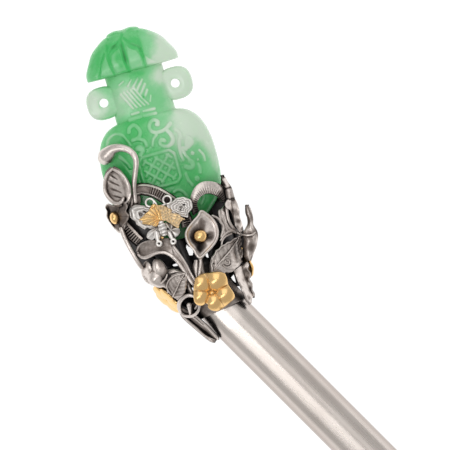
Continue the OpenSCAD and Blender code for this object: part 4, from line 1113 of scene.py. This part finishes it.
    # Ruffled leaf below it
    s.leaf([(8.8, -0.8), (8.9, -2.3), (9.1, -4.0), (9.4, -5.8), (9.6, -7.4), (10.0, -8.2)],
           wavy([(11.4, 0.0), (11.3, -1.6), (11.1, -3.2), (11.0, -5.0), (10.8, -6.8), (10.3, -8.1)]),
           (0.9, 1.1, 0.6, -0.1), ruffled, 0.5, 90, 41)
    # Thin leaf at the right of the arch, and the crumpled leaf below it
    s.leaf([(11.25, 18.1), (10.95, 17.2), (11.2, 16.2), (11.4, 15.2), (11.35, 14.0), (11.3, 12.8)],
           [(11.5, 18.1), (11.9, 17.4), (12.2, 16.3), (12.55, 15.2), (12.6, 14.0), (12.6, 12.7)],
           (1.8, 2.0, 2.0, 1.7), jointed, 0.5, 90, 25)
    s.plate([(10.35, 12.2), (11.2, 13.0), (12.5, 12.7), (12.75, 11.0), (12.5, 9.2), (12.6, 7.8), (12.4, 6.4),
             (11.7, 6.2), (11.4, 7.0), (11.15, 8.0), (11.3, 9.5), (11.05, 10.9), (10.6, 11.3)], (11.9, 10.2),
            1.6,
            crumpled, 0.5, 110, 17, face, True)
    # Folded leaf under the twigs
    s.plate([(8.7, 11.3), (9.4, 11.5), (10.3, 12.1), (10.6, 11.2), (10.25, 10.0), (10.2, 8.8), (10.45, 7.6),
             (11.1, 6.5), (10.2, 6.6), (9.2, 6.5), (8.2, 6.2), (8.4, 7.6), (8.7, 9.0), (8.55, 10.2)],
            (9.4, 8.8), 0.75,
            pleated, 0.4, 110, 15, face, True)
    # Dark spathe between the stems, the sepals of the bud and plain bars deep behind
    s.leaf([(0.5, -0.6), (0.5, 0.9), (0.8, 2.2), (1.5, 3.3)],
           [(1.5, -0.6), (1.9, 0.9), (2.3, 2.1), (2.4, 3.2)], 0.1, crowned(0.4, 0.4))
    s.leaf([(2.3, 3.4), (1.9, 1.8), (1.9, 0.0)], [(3.1, 3.3), (3.0, 1.6), (2.8, 0.0)], -0.9,
           crowned(0.3, 0.5))
    s.leaf([(4.9, 3.0), (4.2, 1.6), (3.7, 0.0)], [(5.4, 2.7), (5.0, 1.2), (4.8, -0.2)], -0.8,
           crowned(0.4, 0.5))
    s.leaf([(-4.2, 2.9), (-3.0, 2.8), (-1.6, 2.0)], [(-4.0, 1.3), (-2.8, 1.3), (-1.4, 0.8)], -0.6,
           crowned(0.5, 0.5))
    s.leaf([(-1.4, -2.9), (-1.6, -1.2), (-1.3, 0.4)], [(-0.3, -3.0), (-0.6, -1.4), (-0.7, 0.2)], -0.3,
           crowned(0.4, 0.5))
    s.make("veined_leaves", "openwork_cup", SILVER)


def shifted(line, wave):
    """A line moved sideways by a wave's values."""
    way = unit(np.gradient(line, axis=0))
    return np.stack([line[:, 0] - way[:, 1] * wave, line[:, 1] + way[:, 0] * wave], 1)


def serrated(rows, teeth, depth=0.16):
    """An edge with small teeth; the first and last rows stay."""
    count = 8 * teeth + 1
    wave = np.array([depth * (1 - (k % 8) / 4) for k in range(count)])
    wave[[0, -1]] = 0
    return shifted(smoothed(rows, count), wave)


def wavy(rows, waves=4, depth=0.22, count=40):
    """A wavy edge."""
    return shifted(smoothed(rows, count), depth * np.sin(np.linspace(0, 2 * np.pi * waves, count)))


def jointed(a, w):
    """Thin leaf with two dark joints and a dark tip."""
    dark = np.exp(-((a - 0.55) / 0.035) ** 2) + np.exp(-((a - 0.97) / 0.04) ** 2)
    dark = dark + soft((0.2 - a) / 0.1) + soft((-0.4 - w) / 0.3) * soft((0.5 - a) / 0.1)
    return 0.3 * (1 - w * w) - 0.15 * dark, np.clip(0.15 + 0.7 * dark + 0.2 * w ** 4, 0, 1)


def crumpled(u, v):
    """Small dents with stains between them."""
    dent = np.sin(2.6 * u + 1.4 * v) * np.sin(1.9 * v - 2.3 * u + 1)
    stain = 0.0 * u
    for x, y, far in ((11.4, 10.7, 0.4), (12.3, 12.8, 0.4), (12.1, 8.3, 0.35), (11.6, 7.2, 0.3),
                      (12.4, 6.6, 0.3)):
        stain = stain + np.exp(-((u - x) ** 2 + (v - y) ** 2) / far ** 2)
    return 0.12 * dent - 0.1 * stain, np.clip(0.16 - 0.12 * dent + 0.4 * stain, 0, 1)


def pleated(u, v):
    """Long folds that run down the leaf."""
    fold = np.sin(7.5 * (u - 0.12 * (v - 9) ** 2 / 3) + 0.5)
    return 0.07 * fold, np.clip(0.16 - 0.16 * fold, 0, 1)


def ruffled(a, w):
    """Bright folds that cross the leaf."""
    fold = 0.6 * np.sin(2 * np.pi * (2.3 * a + 0.3 * w))
    fold += 0.4 * np.sin(2 * np.pi * (4.1 * a - 0.5 * w + 0.2))
    return 0.2 * fold + 0.2 * w * w, np.clip(0.12 - 0.25 * fold, 0, 1)


def cup_flowers():
    """Front calla, trumpet flower, bud and lily bud."""
    s = Shapes()
    # Front calla: its inside is darkened as painted shade, most on the left, with painted highlights on its
    # right
    rim = [(5.4, 12.3), (6.3, 11.4), (7.1, 10.2), (7.5, 8.8), (7.4, 7.3), (6.7, 6.0), (5.5, 5.0), (4.1, 4.2),
           (2.75, 3.5), (2.2, 4.3), (1.95, 5.4), (1.4, 6.5), (1.15, 7.7), (1.3, 8.9), (2.1, 9.9),
           (3.4, 10.8), (4.5, 11.5)]
    throat = (3.8, 7.3)

    def calla(q, a):
        height, oxide_and_shade = bowl(0.8, 1.7, 0.26, 0.3)(q, a)
        fold = hump(a, 1.35, 0.3) + hump(a, -0.1, 0.22) + hump(a, -2.2, 0.3)
        painted_highlight = hump(a, 0.6, 0.3) + 0.7 * hump(a, -0.9, 0.3)
        painted_shade_patch = 0.5 * hump(a, -1.9, 0.5) + 0.4 * hump(np.abs(a), 3.0, 0.4)
        inside = soft(q * 2.2) * soft((0.86 - q) / 0.2)
        return height + 0.38 * fold * soft(q * 1.6) * (1 - q) * 2, np.clip(
            oxide_and_shade + (0.75 * painted_shade_patch - 0.8 * painted_highlight) * inside + 0.4 * inside, 0, 1)
    s.plate(rim, throat, 1.35, calla, 0.45, 132, 26)
    s.rim(rim, 1.6, 0.25, 132)
    # Trumpet flower: its dull lobe and its funnel
    s.leaf([(-8.9, 7.9), (-8.2, 8.9), (-7.0, 9.25), (-5.6, 9.1), (-4.4, 8.7), (-3.2, 8.9), (-2.1, 8.5)],
           [(-8.9, 7.6), (-8.2, 6.5), (-7.0, 6.5), (-5.6, 6.8), (-4.2, 6.5), (-3.0, 5.8), (-2.3, 4.9)],
           0.8, lobe, 0.5, 80, 37)
    s.leaf([(-3.0, 5.9), (-2.2, 4.7), (-1.5, 3.2), (-0.95, 1.4), (-0.35, -0.4), (0.3, -1.8)],
           [(-2.1, 8.4), (-1.6, 6.6), (-0.9, 4.6), (-0.35, 2.6), (-0.05, 0.9), (0.7, -1.6)],
           0.65, groove, 0.5, 80, 29)
    # Bud of two shiny petals with a notch between their tips; the right petal is darker as painted shade,
    # and each has a painted highlight along its lit ridge
    for outline, centre, lift, ridge, shade in (
        ([(-7.45, 5.3), (-7.9, 5.5), (-8.5, 5.0), (-9.0, 4.2), (-9.15, 3.2), (-8.9, 2.0), (-8.2, 1.2),
          (-7.2, 0.9), (-6.6, 1.3), (-6.8, 2.4), (-7.1, 3.7), (-7.2, 4.6)], (-7.9, 3.1), 0.35, -8.0, 0.12),
        ([(-6.95, 3.8), (-6.75, 4.6), (-6.35, 5.2), (-5.7, 5.5), (-5.0, 5.0), (-4.6, 4.1), (-4.45, 3.0),
          (-4.7, 1.9), (-5.4, 1.2), (-6.1, 1.0), (-6.7, 1.5), (-7.0, 2.6)], (-5.8, 3.2), 0.65, -6.4, 0.36),
    ):
        reach = np.hypot(*(np.array(outline) - centre).T).mean()

        def petal(u, v, centre=centre, ridge=ridge, reach=reach, shade=shade):
            q = np.clip(np.hypot(u - centre[0], (v - centre[1]) * 0.8) / reach, 0, 1.15)
            lit = np.exp(-((u - ridge - 0.1 * (v - 3)) / 0.5) ** 2)
            height = np.sqrt(np.clip(1.55 - q * q, 0, 2)) + 0.25 * lit
            return height, np.clip(shade + 0.3 * q ** 3 - 0.3 * lit, 0, 1)
        s.plate(outline, centre, lift - 0.9, petal, 0.7, 110, 30, face, True)
    s.blob(face(-6.8, 3.5, -1.5), (1.1, 1.4, 0.7), oxide_and_shade=1.0)
    s.stem([(-6.6, 1.9, 0.2, 1.9), (-6.0, 1.0, 0.1, 1.5), (-5.3, 0.2, 0.0, 0.8), (-4.9, -0.6, 0.0, 0.5)], 24,
           0.8)
    s.stem([(-7.5, 0.9, 0.9, 0.16), (-6.2, 0.7, 1.3, 0.18), (-5.0, 1.3, 1.2, 0.18), (-4.5, 2.0, 1.0, 0.16)],
           30)
    # Lily bud off the right side
    s.stem([(12.2, 0.5, 0.8, 0.4), (12.6, 1.5, 1.2, 0.7), (13.1, 2.9, 1.5, 1.2), (13.5, 4.3, 1.7, 1.3),
            (13.8, 5.5, 1.8, 1.0), (14.15, 6.6, 1.9, 0.5), (14.35, 7.8, 2.0, 0.42), (14.5, 9.0, 2.0, 0.55),
            (14.5, 10.0, 1.9, 0.5), (14.5, 10.8, 1.8, 0.25)], 70, oxide_and_shade=0.12)
    s.leaf([(11.6, 0.3), (11.2, 1.4), (11.3, 2.7), (12.0, 4.1), (12.2, 5.65), (12.9, 6.5), (13.6, 7.3),
            (13.85, 8.45), (13.8, 9.4), (14.0, 10.4), (14.3, 11.1)],
           [(12.35, 0.0), (13.7, 1.9), (14.55, 3.3), (15.05, 4.55), (15.1, 5.5), (14.85, 6.35),
            (14.75, 7.05), (15.05, 8.15), (15.1, 10.1), (14.7, 11.0)], (1.8, 2.3, 2.6, 2.4, 2.3, 2.2), lumpy,
           0.6, 120, 41)
    s.stem([(12.1, 5.5, 3.1, 0.16), (12.9, 5.15, 3.6, 0.2), (13.8, 5.0, 3.6, 0.2), (14.6, 5.3, 3.1, 0.16)],
           30)
    s.make("silver_flowers", "openwork_cup", SILVER)


def lumpy(a, w):
    """Dented skin of the lily bud, stained below its lip."""
    dent = np.sin(17 * a + 2 * w) * np.sin(7 * a - 3 * w + 1)
    stain = np.exp(-((a - 0.3) / 0.1) ** 2 - ((w + 0.3) / 0.6) ** 2)
    height = 0.9 * (1 - w * w) ** 0.7 + 0.14 * dent
    return height, np.clip(0.3 + 0.25 * w ** 2 - 0.3 * dent + 0.3 * stain, 0, 1)


def lobe(a, w):
    """Dull hollow of the trumpet's lobe with a bright lower edge."""
    return 0.5 * w ** 2 + 0 * a, np.clip(0.42 + 0.2 * (0.5 - a) - 0.4 * soft((w - 0.5) / 0.4), 0, 1)


def groove(a, w):
    """The trumpet's long funnel, darker along its middle."""
    return 0.2 * np.abs(w) ** 2 + 0.05 + 0 * a, np.clip(0.3 * (1 - np.abs(w)) + 0.15 * a, 0, 1)


def cup_back():
    """Plain oxidised stems, band and leaves round the back."""
    # It is near-black, as oxide and as painted shade inside the cup.
    s = Shapes()

    def skin_path(rows, count):
        """Places and radii along rows of [t, f, lift, radius] on the skin."""
        rows = smoothed([(t * CUP_LEN, f, lift, r) for t, f, lift, r in rows], count)
        return [skin_frame((r[0] / CUP_LEN, r[1], 0), r[2])[0] for r in rows], rows[:, 3]
    for f in (-136, 102, 118, 152, 172, -170, -152):
        path, r = skin_path([(0.2, f, -0.55, 0.6), (0.34, f, 0, 0.6), (0.64, f, -0.1, 0.58),
                             (0.93, f, -0.6, 0.5)], 30)
        away = unit(path[15] * np.array([0, 1, 1]))
        s.tube(path, r, sides=12, oxide_and_shade=0.3, up=away)
    band, r = skin_path([(0.93 + 0.02 * math.cos(math.radians(45 * k)), 108 + 18.5 * k, -0.6, 0.55)
                         for k in range(9)], 60)
    s.tube(band, r, sides=12, oxide_and_shade=0.3, up=(1, 0, 0))
    for t0, f0, t1, f1, width in ((0.34, 140, 0.62, 144, 5), (0.28, 222, 0.62, 216, 5),
                                  (0.64, 170, 0.92, 176, 6.4), (0.56, 219, 0.92, 213, 6),
                                  (0.54, 122, 0.92, 132, 7), (0.62, 200, 0.92, 203, 5)):
        rows = []
        w = np.linspace(-1, 1, 17)[:, None]
        for q in np.linspace(0.02, 0.98, 24):
            origin, (across, _, out) = skin_frame((t0 + (t1 - t0) * q, f0 + (f1 - f0) * q, 0), 0.25)
            spread = max(0.12, math.sin(math.pi * q ** 0.8) ** 0.7) * width / 2
            lift = 0.12 * np.cos(9 * w) - 0.05 * (w * spread) ** 2
            rows.append(origin + across * w * spread + out * lift)
        s.sheet(np.array(rows), 0.5, 0.3)
    # Leaves over the back, near-black as painted shade, traced as they show between the front stems
    for outline, centre, lift in (
        ([(-7.5, 10.5), (0.65, 10.5), (0.6, 8.9), (0.75, 6.5), (0.3, 5.95), (-0.4, 5.4), (-0.6, 4.5),
          (-1.2, 3.5), (-2.6, 3.5), (-3.5, 3.1), (-4.2, 3.2), (-5.0, 4.6), (-6.8, 7.5)], (-2.5, 6.8), -8.5),
        ([(-0.7, 5.2), (0.2, 4.4), (1.2, 4.0), (2.2, 4.0), (2.1, 2.0), (1.8, -1.5), (-2.5, -2.0),
          (-5.3, 0.0), (-5.5, 2.6), (-3.9, 3.4), (-3.3, 3.0), (-1.2, 2.95)], (-0.6, 2.0), -9.5),
        ([(1.0, 10.2), (0.95, 8.9), (1.0, 6.5), (1.7, 5.6), (2.1, 4.6), (4.6, 4.7), (4.6, 10.2)], (3.0, 7.5),
         -8.0),
        ([(1.6, 4.2), (3.9, 4.6), (3.9, 3.0), (4.6, 2.6), (5.6, 2.0), (5.6, -1.2), (1.6, -1.2)], (2.8, 1.6),
         -8.6),
        ([(4.4, 6.5), (8.2, 6.5), (7.6, 4.8), (6.0, 2.2), (4.6, 2.2), (4.55, 4.2)], (5.8, 4.6), -8.2),
        ([(5.8, 0.8), (6.2, -2.5), (6.9, -4.6), (8.2, -7.4), (9.3, -7.6), (9.0, -6.2), (8.5, -5.3),
          (8.1, -4.2), (8.2, -3.5), (7.8, -2.9), (7.6, -2.0), (8.4, -1.7), (8.7, 0.8)], (7.0, -2.6), -6.0),
        ([(8.4, 0.8), (10.4, 0.8), (10.2, -4.0), (10.2, -7.4), (9.4, -7.6), (9.4, -5.9), (9.2, -4.5),
          (8.2, -4.1), (8.1, -3.7), (8.4, -3.3), (8.4, -2.2), (8.3, -1.0)], (9.4, -3.3), -4.5),
        ([(8.0, 12.6), (12.2, 12.4), (12.6, 9.0), (12.5, 4.8), (12.3, 1.5), (11.4, -0.8), (9.6, -0.8),
          (8.6, 2.0), (8.0, 4.8), (7.9, 9.0)], (10.2, 5.5), -4.0),
        ([(-10.4, 13.4), (-10.3, 10.0), (-9.7, 7.0), (-9.1, 4.4), (-8.0, 2.5), (-6.0, 2.5), (-6.5, 7.0),
          (-7.5, 10.5), (-8.7, 13.8)], (-8.4, 8.0), -4.0),
        ([(-8.2, 3.0), (-7.9, 0.8), (-6.6, -1.6), (-5.0, -3.8), (-3.6, -3.6), (-4.0, 0.0), (-6.0, 2.6)],
         (-6.0, -0.2),
         -3.0),
        ([(-9.3, 14.9), (-8.2, 15.4), (-6.4, 14.9), (-5.2, 13.0), (-5.3, 10.8), (-7.4, 9.8), (-8.3, 10.6),
          (-9.0, 12.6)], (-7.2, 12.8), -0.8),
    ):
        s.plate(outline, centre, lift, dull_dish(0.5, 0.0, 0.5))
    s.make("back_lattice", "openwork_cup", INNER_OXIDE_AND_SHADE)


def socket_ring():
    """Collar round the shaft's end, darkened towards the cup as painted shade; its lip runs further down the
    shaft's right side.
    """
    s = Shapes()
    sides = 72
    turn = np.arange(sides) / sides * 2 * np.pi
    inner, outer = SHAFT_R - 0.17, SHAFT_R + 0.58
    x0, x1 = SHAFT_X - 2.8, SHAFT_X + 1.4
    slant = (1 + np.cos(turn)) / 2 - 0.25
    # Corners of its section: [x, radius, growth of x along the slant, growth of the radius]
    section = [(x0, inner, 0, 0), (x0, outer - 0.1, 0, 0), (x0 + 0.1, outer, 0, 0),
               (x1 - 0.1, outer, 3.6, -0.15), (x1, outer - 0.1, 3.6, -0.15), (x1, inner, 3.6, 0.22)]
    rings = [np.stack([x + slant * further, (r + slant * grown) * np.cos(turn),
                       (r + slant * grown) * np.sin(turn)], -1) for x, r, further, grown in section]
    s.hoop(np.array(rings), [0.85, 0.85, 0.85, 0.35, 0.35, 0.6])
    s.make("socket_ring", "openwork_cup", SILVER)


# The butterfly

def banded(way):
    """Rings round a body's length."""
    return 0.9 + 0.1 * np.cos(np.arcsin(np.clip(way[..., 1], -1, 1)) * 12)


def butterfly():
    """Silver wings, body, tails and antennae, and the gilt plate on them."""
    s = Shapes()
    high = 1.55
    s.plate([(-4.0, 15.3), (-4.9, 16.15), (-5.8, 16.6), (-7.0, 16.95), (-8.05, 16.45), (-8.4, 15.45),
             (-8.35, 14.9), (-8.05, 14.3), (-7.6, 13.85), (-7.5, 13.2), (-6.95, 12.65), (-6.3, 11.95),
             (-5.7, 12.1), (-5.05, 11.65), (-4.2, 11.8), (-3.7, 12.9)], (-5.3, 14.3), high - 0.4,
            lined(3.6, 0.2, 0.48, 0.035, ((-0.05, 0.42, 0.14), (-0.3, 0.18, 0.14))), 0.45, 160, 50)
    s.plate([(-1.0, 15.2), (0.05, 15.5), (1.05, 15.95), (2.15, 16.05), (3.15, 15.65), (3.95, 14.9),
             (4.0, 13.9), (3.5, 13.1), (2.75, 12.6), (2.5, 11.85), (1.9, 12.1), (1.3, 12.6), (-0.2, 13.6)],
            (1.75, 14.15), high - 0.1,
            lined(4.2, 0.12, 0.62, 0.05, ((0.3, 0.15, 0.12), (-0.15, -0.3, 0.12))), 0.45, 144, 50)
    for rim, middle, ribs, dark in (
        ([(-3.4, 11.9), (-4.2, 11.6), (-5.05, 11.45), (-5.85, 11.1), (-6.3, 10.4), (-6.05, 9.8),
          (-5.5, 9.45), (-4.9, 9.65), (-4.5, 9.2), (-3.9, 9.3), (-3.4, 10.1)], (-3.6, 11.5), 14, 0.45),
        ([(-2.1, 12.0), (-1.05, 11.5), (-0.4, 10.8), (0.15, 10.2), (0.05, 9.35), (-0.85, 8.8), (-1.5, 9.0),
          (-2.1, 9.4), (-2.4, 10.4)], (-1.4, 10.4), 6, 0.9),
    ):
        s.plate(rim, middle, high - 0.35, fan(0.25, ribs, 0.25, dark), 0.4, 96, 20)
    # Abdomen with bands, tails that end in rings, and curled antennae
    s.blob(face(-2.85, 11.1, high + 0.3), (0.98, 1.7, 0.8), HEAD_AXES, banded, 40, 60)
    for rows, ring in (
        ([(-4.3, 10.6, high - 0.2, 0.5), (-4.4, 9.8, high - 0.1, 0.48), (-4.4, 9.0, high, 0.38)],
         (-4.35, 8.4)),
        ([(-2.0, 10.0, high - 0.3, 0.5), (-1.8, 9.4, high - 0.1, 0.42), (-1.65, 8.6, high, 0.34)],
         (-1.55, 8.05)),
    ):
        s.stem(rows, 20, 0.7)
        s.ring(*ring, high, 0.42, 0.27)
    s.ring(-3.95, 16.7, high, 0.8, 0.2, -60, 320)
    s.ring(-0.5, 16.3, high, 0.8, 0.2, 215, -320)
    s.stem([(-2.75, 15.6, high, 0.2), (-2.85, 16.3, high, 0.2), (-3.2, 17.0, high, 0.2),
            (-3.6, 17.4, high, 0.2)], 16)
    s.stem([(-2.6, 15.5, high, 0.2), (-1.5, 15.5, high, 0.2), (-1.1, 15.6, high, 0.2)], 8)
    s.make("butterfly_wings", "butterfly", BUTTERFLY_SILVER)
    g = Shapes()
    g.plate([(-4.05, 15.65), (-3.5, 16.15), (-3.0, 15.95), (-2.4, 15.7), (-1.5, 15.35), (-0.7, 14.55),
             (-0.3, 14.1), (-0.4, 13.6), (0.15, 13.35), (0.85, 13.0), (1.35, 12.2), (1.85, 11.65),
             (1.15, 11.55), (0.5, 11.0), (0.15, 10.4), (-0.4, 10.8), (-0.95, 11.45), (-1.6, 12.1),
             (-2.0, 12.5), (-2.8, 12.3), (-3.5, 12.2), (-3.9, 11.85), (-4.3, 12.0), (-4.85, 12.35),
             (-5.4, 12.65), (-5.85, 12.8), (-6.4, 13.1), (-6.3, 13.55), (-6.8, 14.0), (-6.05, 14.35),
             (-5.3, 14.8), (-4.6, 15.1)], (-2.9, 13.6), high + 0.3, gilt_fan, 0.3,
            240, 44, face, True)
    g.blob(face(-3.4, 15.85, high + 0.45), (0.5, 0.4, 0.35), HEAD_AXES)
    g.blob(face(-2.9, 13.6, high + 0.3), (0.3, 1.4, 0.3), HEAD_AXES, banded, 24, 24)
    g.blob(face(-3.4, 9.35, high - 0.2), (0.3, 0.3, 0.3))
    g.make("butterfly_gilt", "butterfly", GILT)


def gilt_fan(u, v):
    """Ribs that spread over the left half, which slopes down outwards, and a stippled right half."""
    x, y = u + 2.9, v - 13.3
    a, r = np.arctan2(y, x), np.hypot(x, y)
    wave = 0.5 + 0.5 * np.cos(15 * a)
    right = soft((x - 0.2) / 0.5)
    dots = np.sin(5.1 * x + 2.3 * y + 2 * np.sin(1.7 * y)) * np.sin(6.3 * y - 2.9 * x + 2 * np.sin(2.1 * x))
    grown = soft(r / 1.0)
    height = -0.08 * np.clip(-x, 0, 4) + grown * (0.2 * wave * (1 - right) + 0.06 * dots * right)
    return height, np.clip((1 - wave) * 0.8 * grown * (1 - right) + right * (1.2 - 0.4 * dots), 0, 1.5)


# Gilt blossoms and beads

PILLOW = 2.5
PETAL_OUT = 1.95


def puffed_petal(way):
    """A square pillow with a soft crease along it and a flat back."""
    crease = hump(way[..., 1], 0, 0.2) * soft((way[..., 0] + 0.5) / 0.9)
    back = soft(-way[..., 2] * 3) * 0.35
    square = (np.abs(way) ** PILLOW).sum(-1) ** (-1 / PILLOW)
    return square * (1 - 0.04 * crease - back)


def petal_blossom(name, node, origin, axes, r, swell, knob, spin, scale):
    """Five puffed petals round a knob of [radius, height], in the ornament's own axes."""
    s = Shapes()
    for k in range(5):
        away = math.radians(72 * k + 20) + spin
        out = axes[0] * math.cos(away) + axes[1] * math.sin(away)
        s.blob(origin + out * PETAL_OUT * scale, (r * 1.02 * scale, r * scale, swell * scale),
               np.array([out, np.cross(axes[2], out), axes[2]]), puffed_petal, 40, 28)
    s.blob(origin + axes[2] * knob[1], (knob[0], knob[0], knob[0] * 0.8), axes, None, 24, 14)
    s.make(name, node, GILT)


def front_blossom():
    """Five petals pressed from one plate, traced in the photograph's middle frame."""
    rim = from_mid([(0.7, -0.4), (1.95, -0.3), (2.7, -0.45), (3.5, -0.8), (4.5, -1.2), (5.5, -1.8),
                    (6.1, -2.5), (6.0, -3.5), (5.65, -4.45), (5.6, -5.3), (5.7, -6.4), (5.6, -7.2),
                    (5.1, -7.7), (4.05, -7.9), (3.05, -8.1), (2.05, -8.25), (1.05, -8.05), (0.25, -7.4),
                    (-0.05, -6.6), (0.25, -6.0), (-0.05, -5.65), (-0.8, -5.7), (-1.5, -5.25), (-1.8, -4.45),
                    (-1.5, -3.45), (-1.1, -2.75), (-0.7, -2.0), (0.0, -1.2)])
    centre = from_mid([(2.0, -4.5)])[0]
    origin, axes = skin_frame((0.29, -1, 8), 0.87)
    # Domes of [u, v, radius, height]: five petals and the knob
    puffs = from_mid([(1.0, -1.9, 2.3, 1.5), (4.0, -2.9, 2.5, 1.5), (4.0, -6.2, 2.3, 1.45),
                      (1.45, -6.35, 2.2, 1.5), (-0.35, -4.0, 2.1, 1.4), (2.0, -4.55, 0.8, 0.95)])
    normal = axes[2]

    def on_plane(u, v, height):
        """Places over the plane that touches the skin under the blossom."""
        x, y = pin_xy(u, v)
        z = origin[2] - (normal[0] * (x - origin[0]) + normal[1] * (y - origin[1])) / normal[2]
        return np.stack([x, y, z + height], -1)

    def puffed(u, v):
        """Domes that meet in creases, darkened along them as painted shade."""
        domes = np.stack([h * np.clip(1 - np.hypot(u - x, v - y) ** 2 / r ** 2, -0.3, 1)
                          for x, y, r, h in puffs])
        order = np.sort(domes, axis=0)
        near = order[-1] - order[-2]
        crease = hump(near, 0, 0.16)
        return order[-1] - 0.05 * crease, np.clip(0.25 * crease + 0.45 * hump(near, 0, 0.6), 0, 1)
    s = Shapes()
    s.plate(rim, centre, 0.03, puffed, 0.35, 200, 64, on_plane, True)
    s.make("front_blossom_petals", "blossom_front", GILT)


def side_blossom(name, node, place, lift, lean, size, knob, spin):
    """Blossom on the skin at [t, f, turn], leaned towards the face; size is [radius, swell]."""
    origin, axes = skin_frame(place, lift)
    out = axes[2]
    rise = unit(np.array([0, 0, 1]) - out * out[2])
    turned = out * math.cos(lean) + rise * math.sin(lean)
    long = np.cross(rise, out)
    axes = np.array([long, np.cross(turned, long), turned])
    petal_blossom(name, node, origin, axes, *size, knob, spin, 0.97)


def back_blossom():
    """Blossom under the cup, square to the floor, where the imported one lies."""
    low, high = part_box("blossom_back")
    origin = from_rest((np.array(low) + np.array(high)) / 2) + np.array([0, 0, 0.1])
    c, s = math.cos(REST_PITCH), math.sin(REST_PITCH)
    axes = np.array([[c, 0, s], [0, -1, 0], [s, 0, -c]])
    petal_blossom("back_blossom_petals", "blossom_back", origin, axes, 1.75, 0.55, (0.6, 0.0), 0.0, 0.9)


def worn_ball(way):
    """A ball that isn't quite round."""
    return 1 - 0.01 * np.sin(way[..., 0] * 3 + 1) * np.sin(way[..., 1] * 2)


def bead(name, node, shift, across):
    """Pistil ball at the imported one's place, shifted in the head's frame."""
    low, high = (np.array(p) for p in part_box(node))
    r = (high - low).mean() / 2 / MM
    spot = from_rest((low + high) / 2)
    spot[:2] += pin_xy(*shift)
    s = Shapes()
    s.blob(spot, (r * across, r * 1.02, r * 0.97), HEAD_AXES, worn_ball, 64, 40)
    s.make(name, node, GILT)


shaft_piece()
jade_piece()
cup_stems()
cup_ribbons()
cup_leaves()
cup_flowers()
cup_back()
socket_ring()
butterfly()
front_blossom()
side_blossom("left_blossom_petals", "blossom_left", (0.39, -86, 20), -0.35, math.radians(12), (1.9, 0.62),
             (0.4, 0.2), 0.3)
side_blossom("right_blossom_petals", "blossom_right", (0.33, 112, 0), 0.95, 0.0, (1.75, 0.85),
             (0.7, 0.6), 0.6)
back_blossom()
bead("front_pistil_bead", "bead_front", (-0.75, -0.5), 1.06)
bead("left_pistil_bead", "bead_left", (1.45, -0.15), 0.76)
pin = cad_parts["core_pin"]
pin.data.materials.clear()
pin.data.materials.append(INNER_OXIDE_AND_SHADE)

# Floor, world, lights and camera

floor_mesh = bpy.data.meshes.new("floor")
FLOOR_HALF = 2.0
corners = ((-1, -1), (1, -1), (1, 1), (-1, 1))
floor_mesh.from_pydata([(x * FLOOR_HALF, y * FLOOR_HALF, 0) for x, y in corners], [], [(0, 1, 2, 3)])
floor = bpy.data.objects.new("floor", floor_mesh)
bpy.context.scene.collection.objects.link(floor)
floor_finish, floor_tree, floor_shader = principled("floor_finish")
floor_grey = blend(floor_tree, noise(floor_tree, 30.0), (0.20, 0.20, 0.20, 1), (0.23, 0.23, 0.23, 1))
floor_tree.links.new(floor_grey, floor_shader.inputs["Base Color"])
floor_shader.inputs["Roughness"].default_value = 0.9
floor_shader.inputs["Emission Color"].default_value = (1, 1, 1, 1)
floor_shader.inputs["Emission Strength"].default_value = 0.93
floor_shader.inputs["Specular IOR Level"].default_value = 0.1
floor_mesh.materials.append(floor_finish)

world = bpy.data.worlds.new("studio")
world.use_nodes = True
world.node_tree.nodes["Background"].inputs["Color"].default_value = (1.0, 0.995, 0.985, 1)
world.node_tree.nodes["Background"].inputs["Strength"].default_value = 0.5
bpy.context.scene.world = world


def softbox(name, target, way, distance, size, strength, mirrored=True):
    """Area light that faces a target in rest metres from a direction."""
    lamp = bpy.data.lights.new(name, "AREA")
    lamp.shape = "RECTANGLE"
    lamp.size, lamp.size_y = size
    lamp.energy = strength
    box = bpy.data.objects.new(name, lamp)
    bpy.context.scene.collection.objects.link(box)
    way = Vector(way).normalized()
    box.location = Vector(target) + way * distance
    box.rotation_euler = way.to_track_quat("Z", "X").to_euler()
    box.visible_camera = False
    box.visible_glossy = mirrored


AIM = (-0.058, 0.002, 0.008)
softbox("stripe_box", AIM, (-0.04, -0.43, 1.0), 1.4, (1.4, 0.3), 3.7)
softbox("top_box", AIM, (-0.5, 0.5, 1.0), 1.3, (1.3, 1.3), 4)
softbox("fill_box", AIM, (0.9, 0.2, 0.8), 1.3, (0.5, 0.8), 2, False)

CAMERA_FAR = 0.9
VIEW_MM = 90.0
camera_data = bpy.data.cameras.new("camera")
camera = bpy.data.objects.new("camera", camera_data)
bpy.context.scene.collection.objects.link(camera)
camera.location = (-57.81 * MM, 1.973 * MM, CAMERA_FAR + REST_SHIFT[2] * MM)
camera.rotation_euler = (0, 0, math.radians(45))
camera_data.sensor_width = 36.0
camera_data.lens = camera_data.sensor_width * CAMERA_FAR / (VIEW_MM * MM)
camera_data.clip_start = 0.05
camera_data.clip_end = 10
bpy.context.scene.camera = camera
bpy.context.scene.view_settings.view_transform = "Standard"
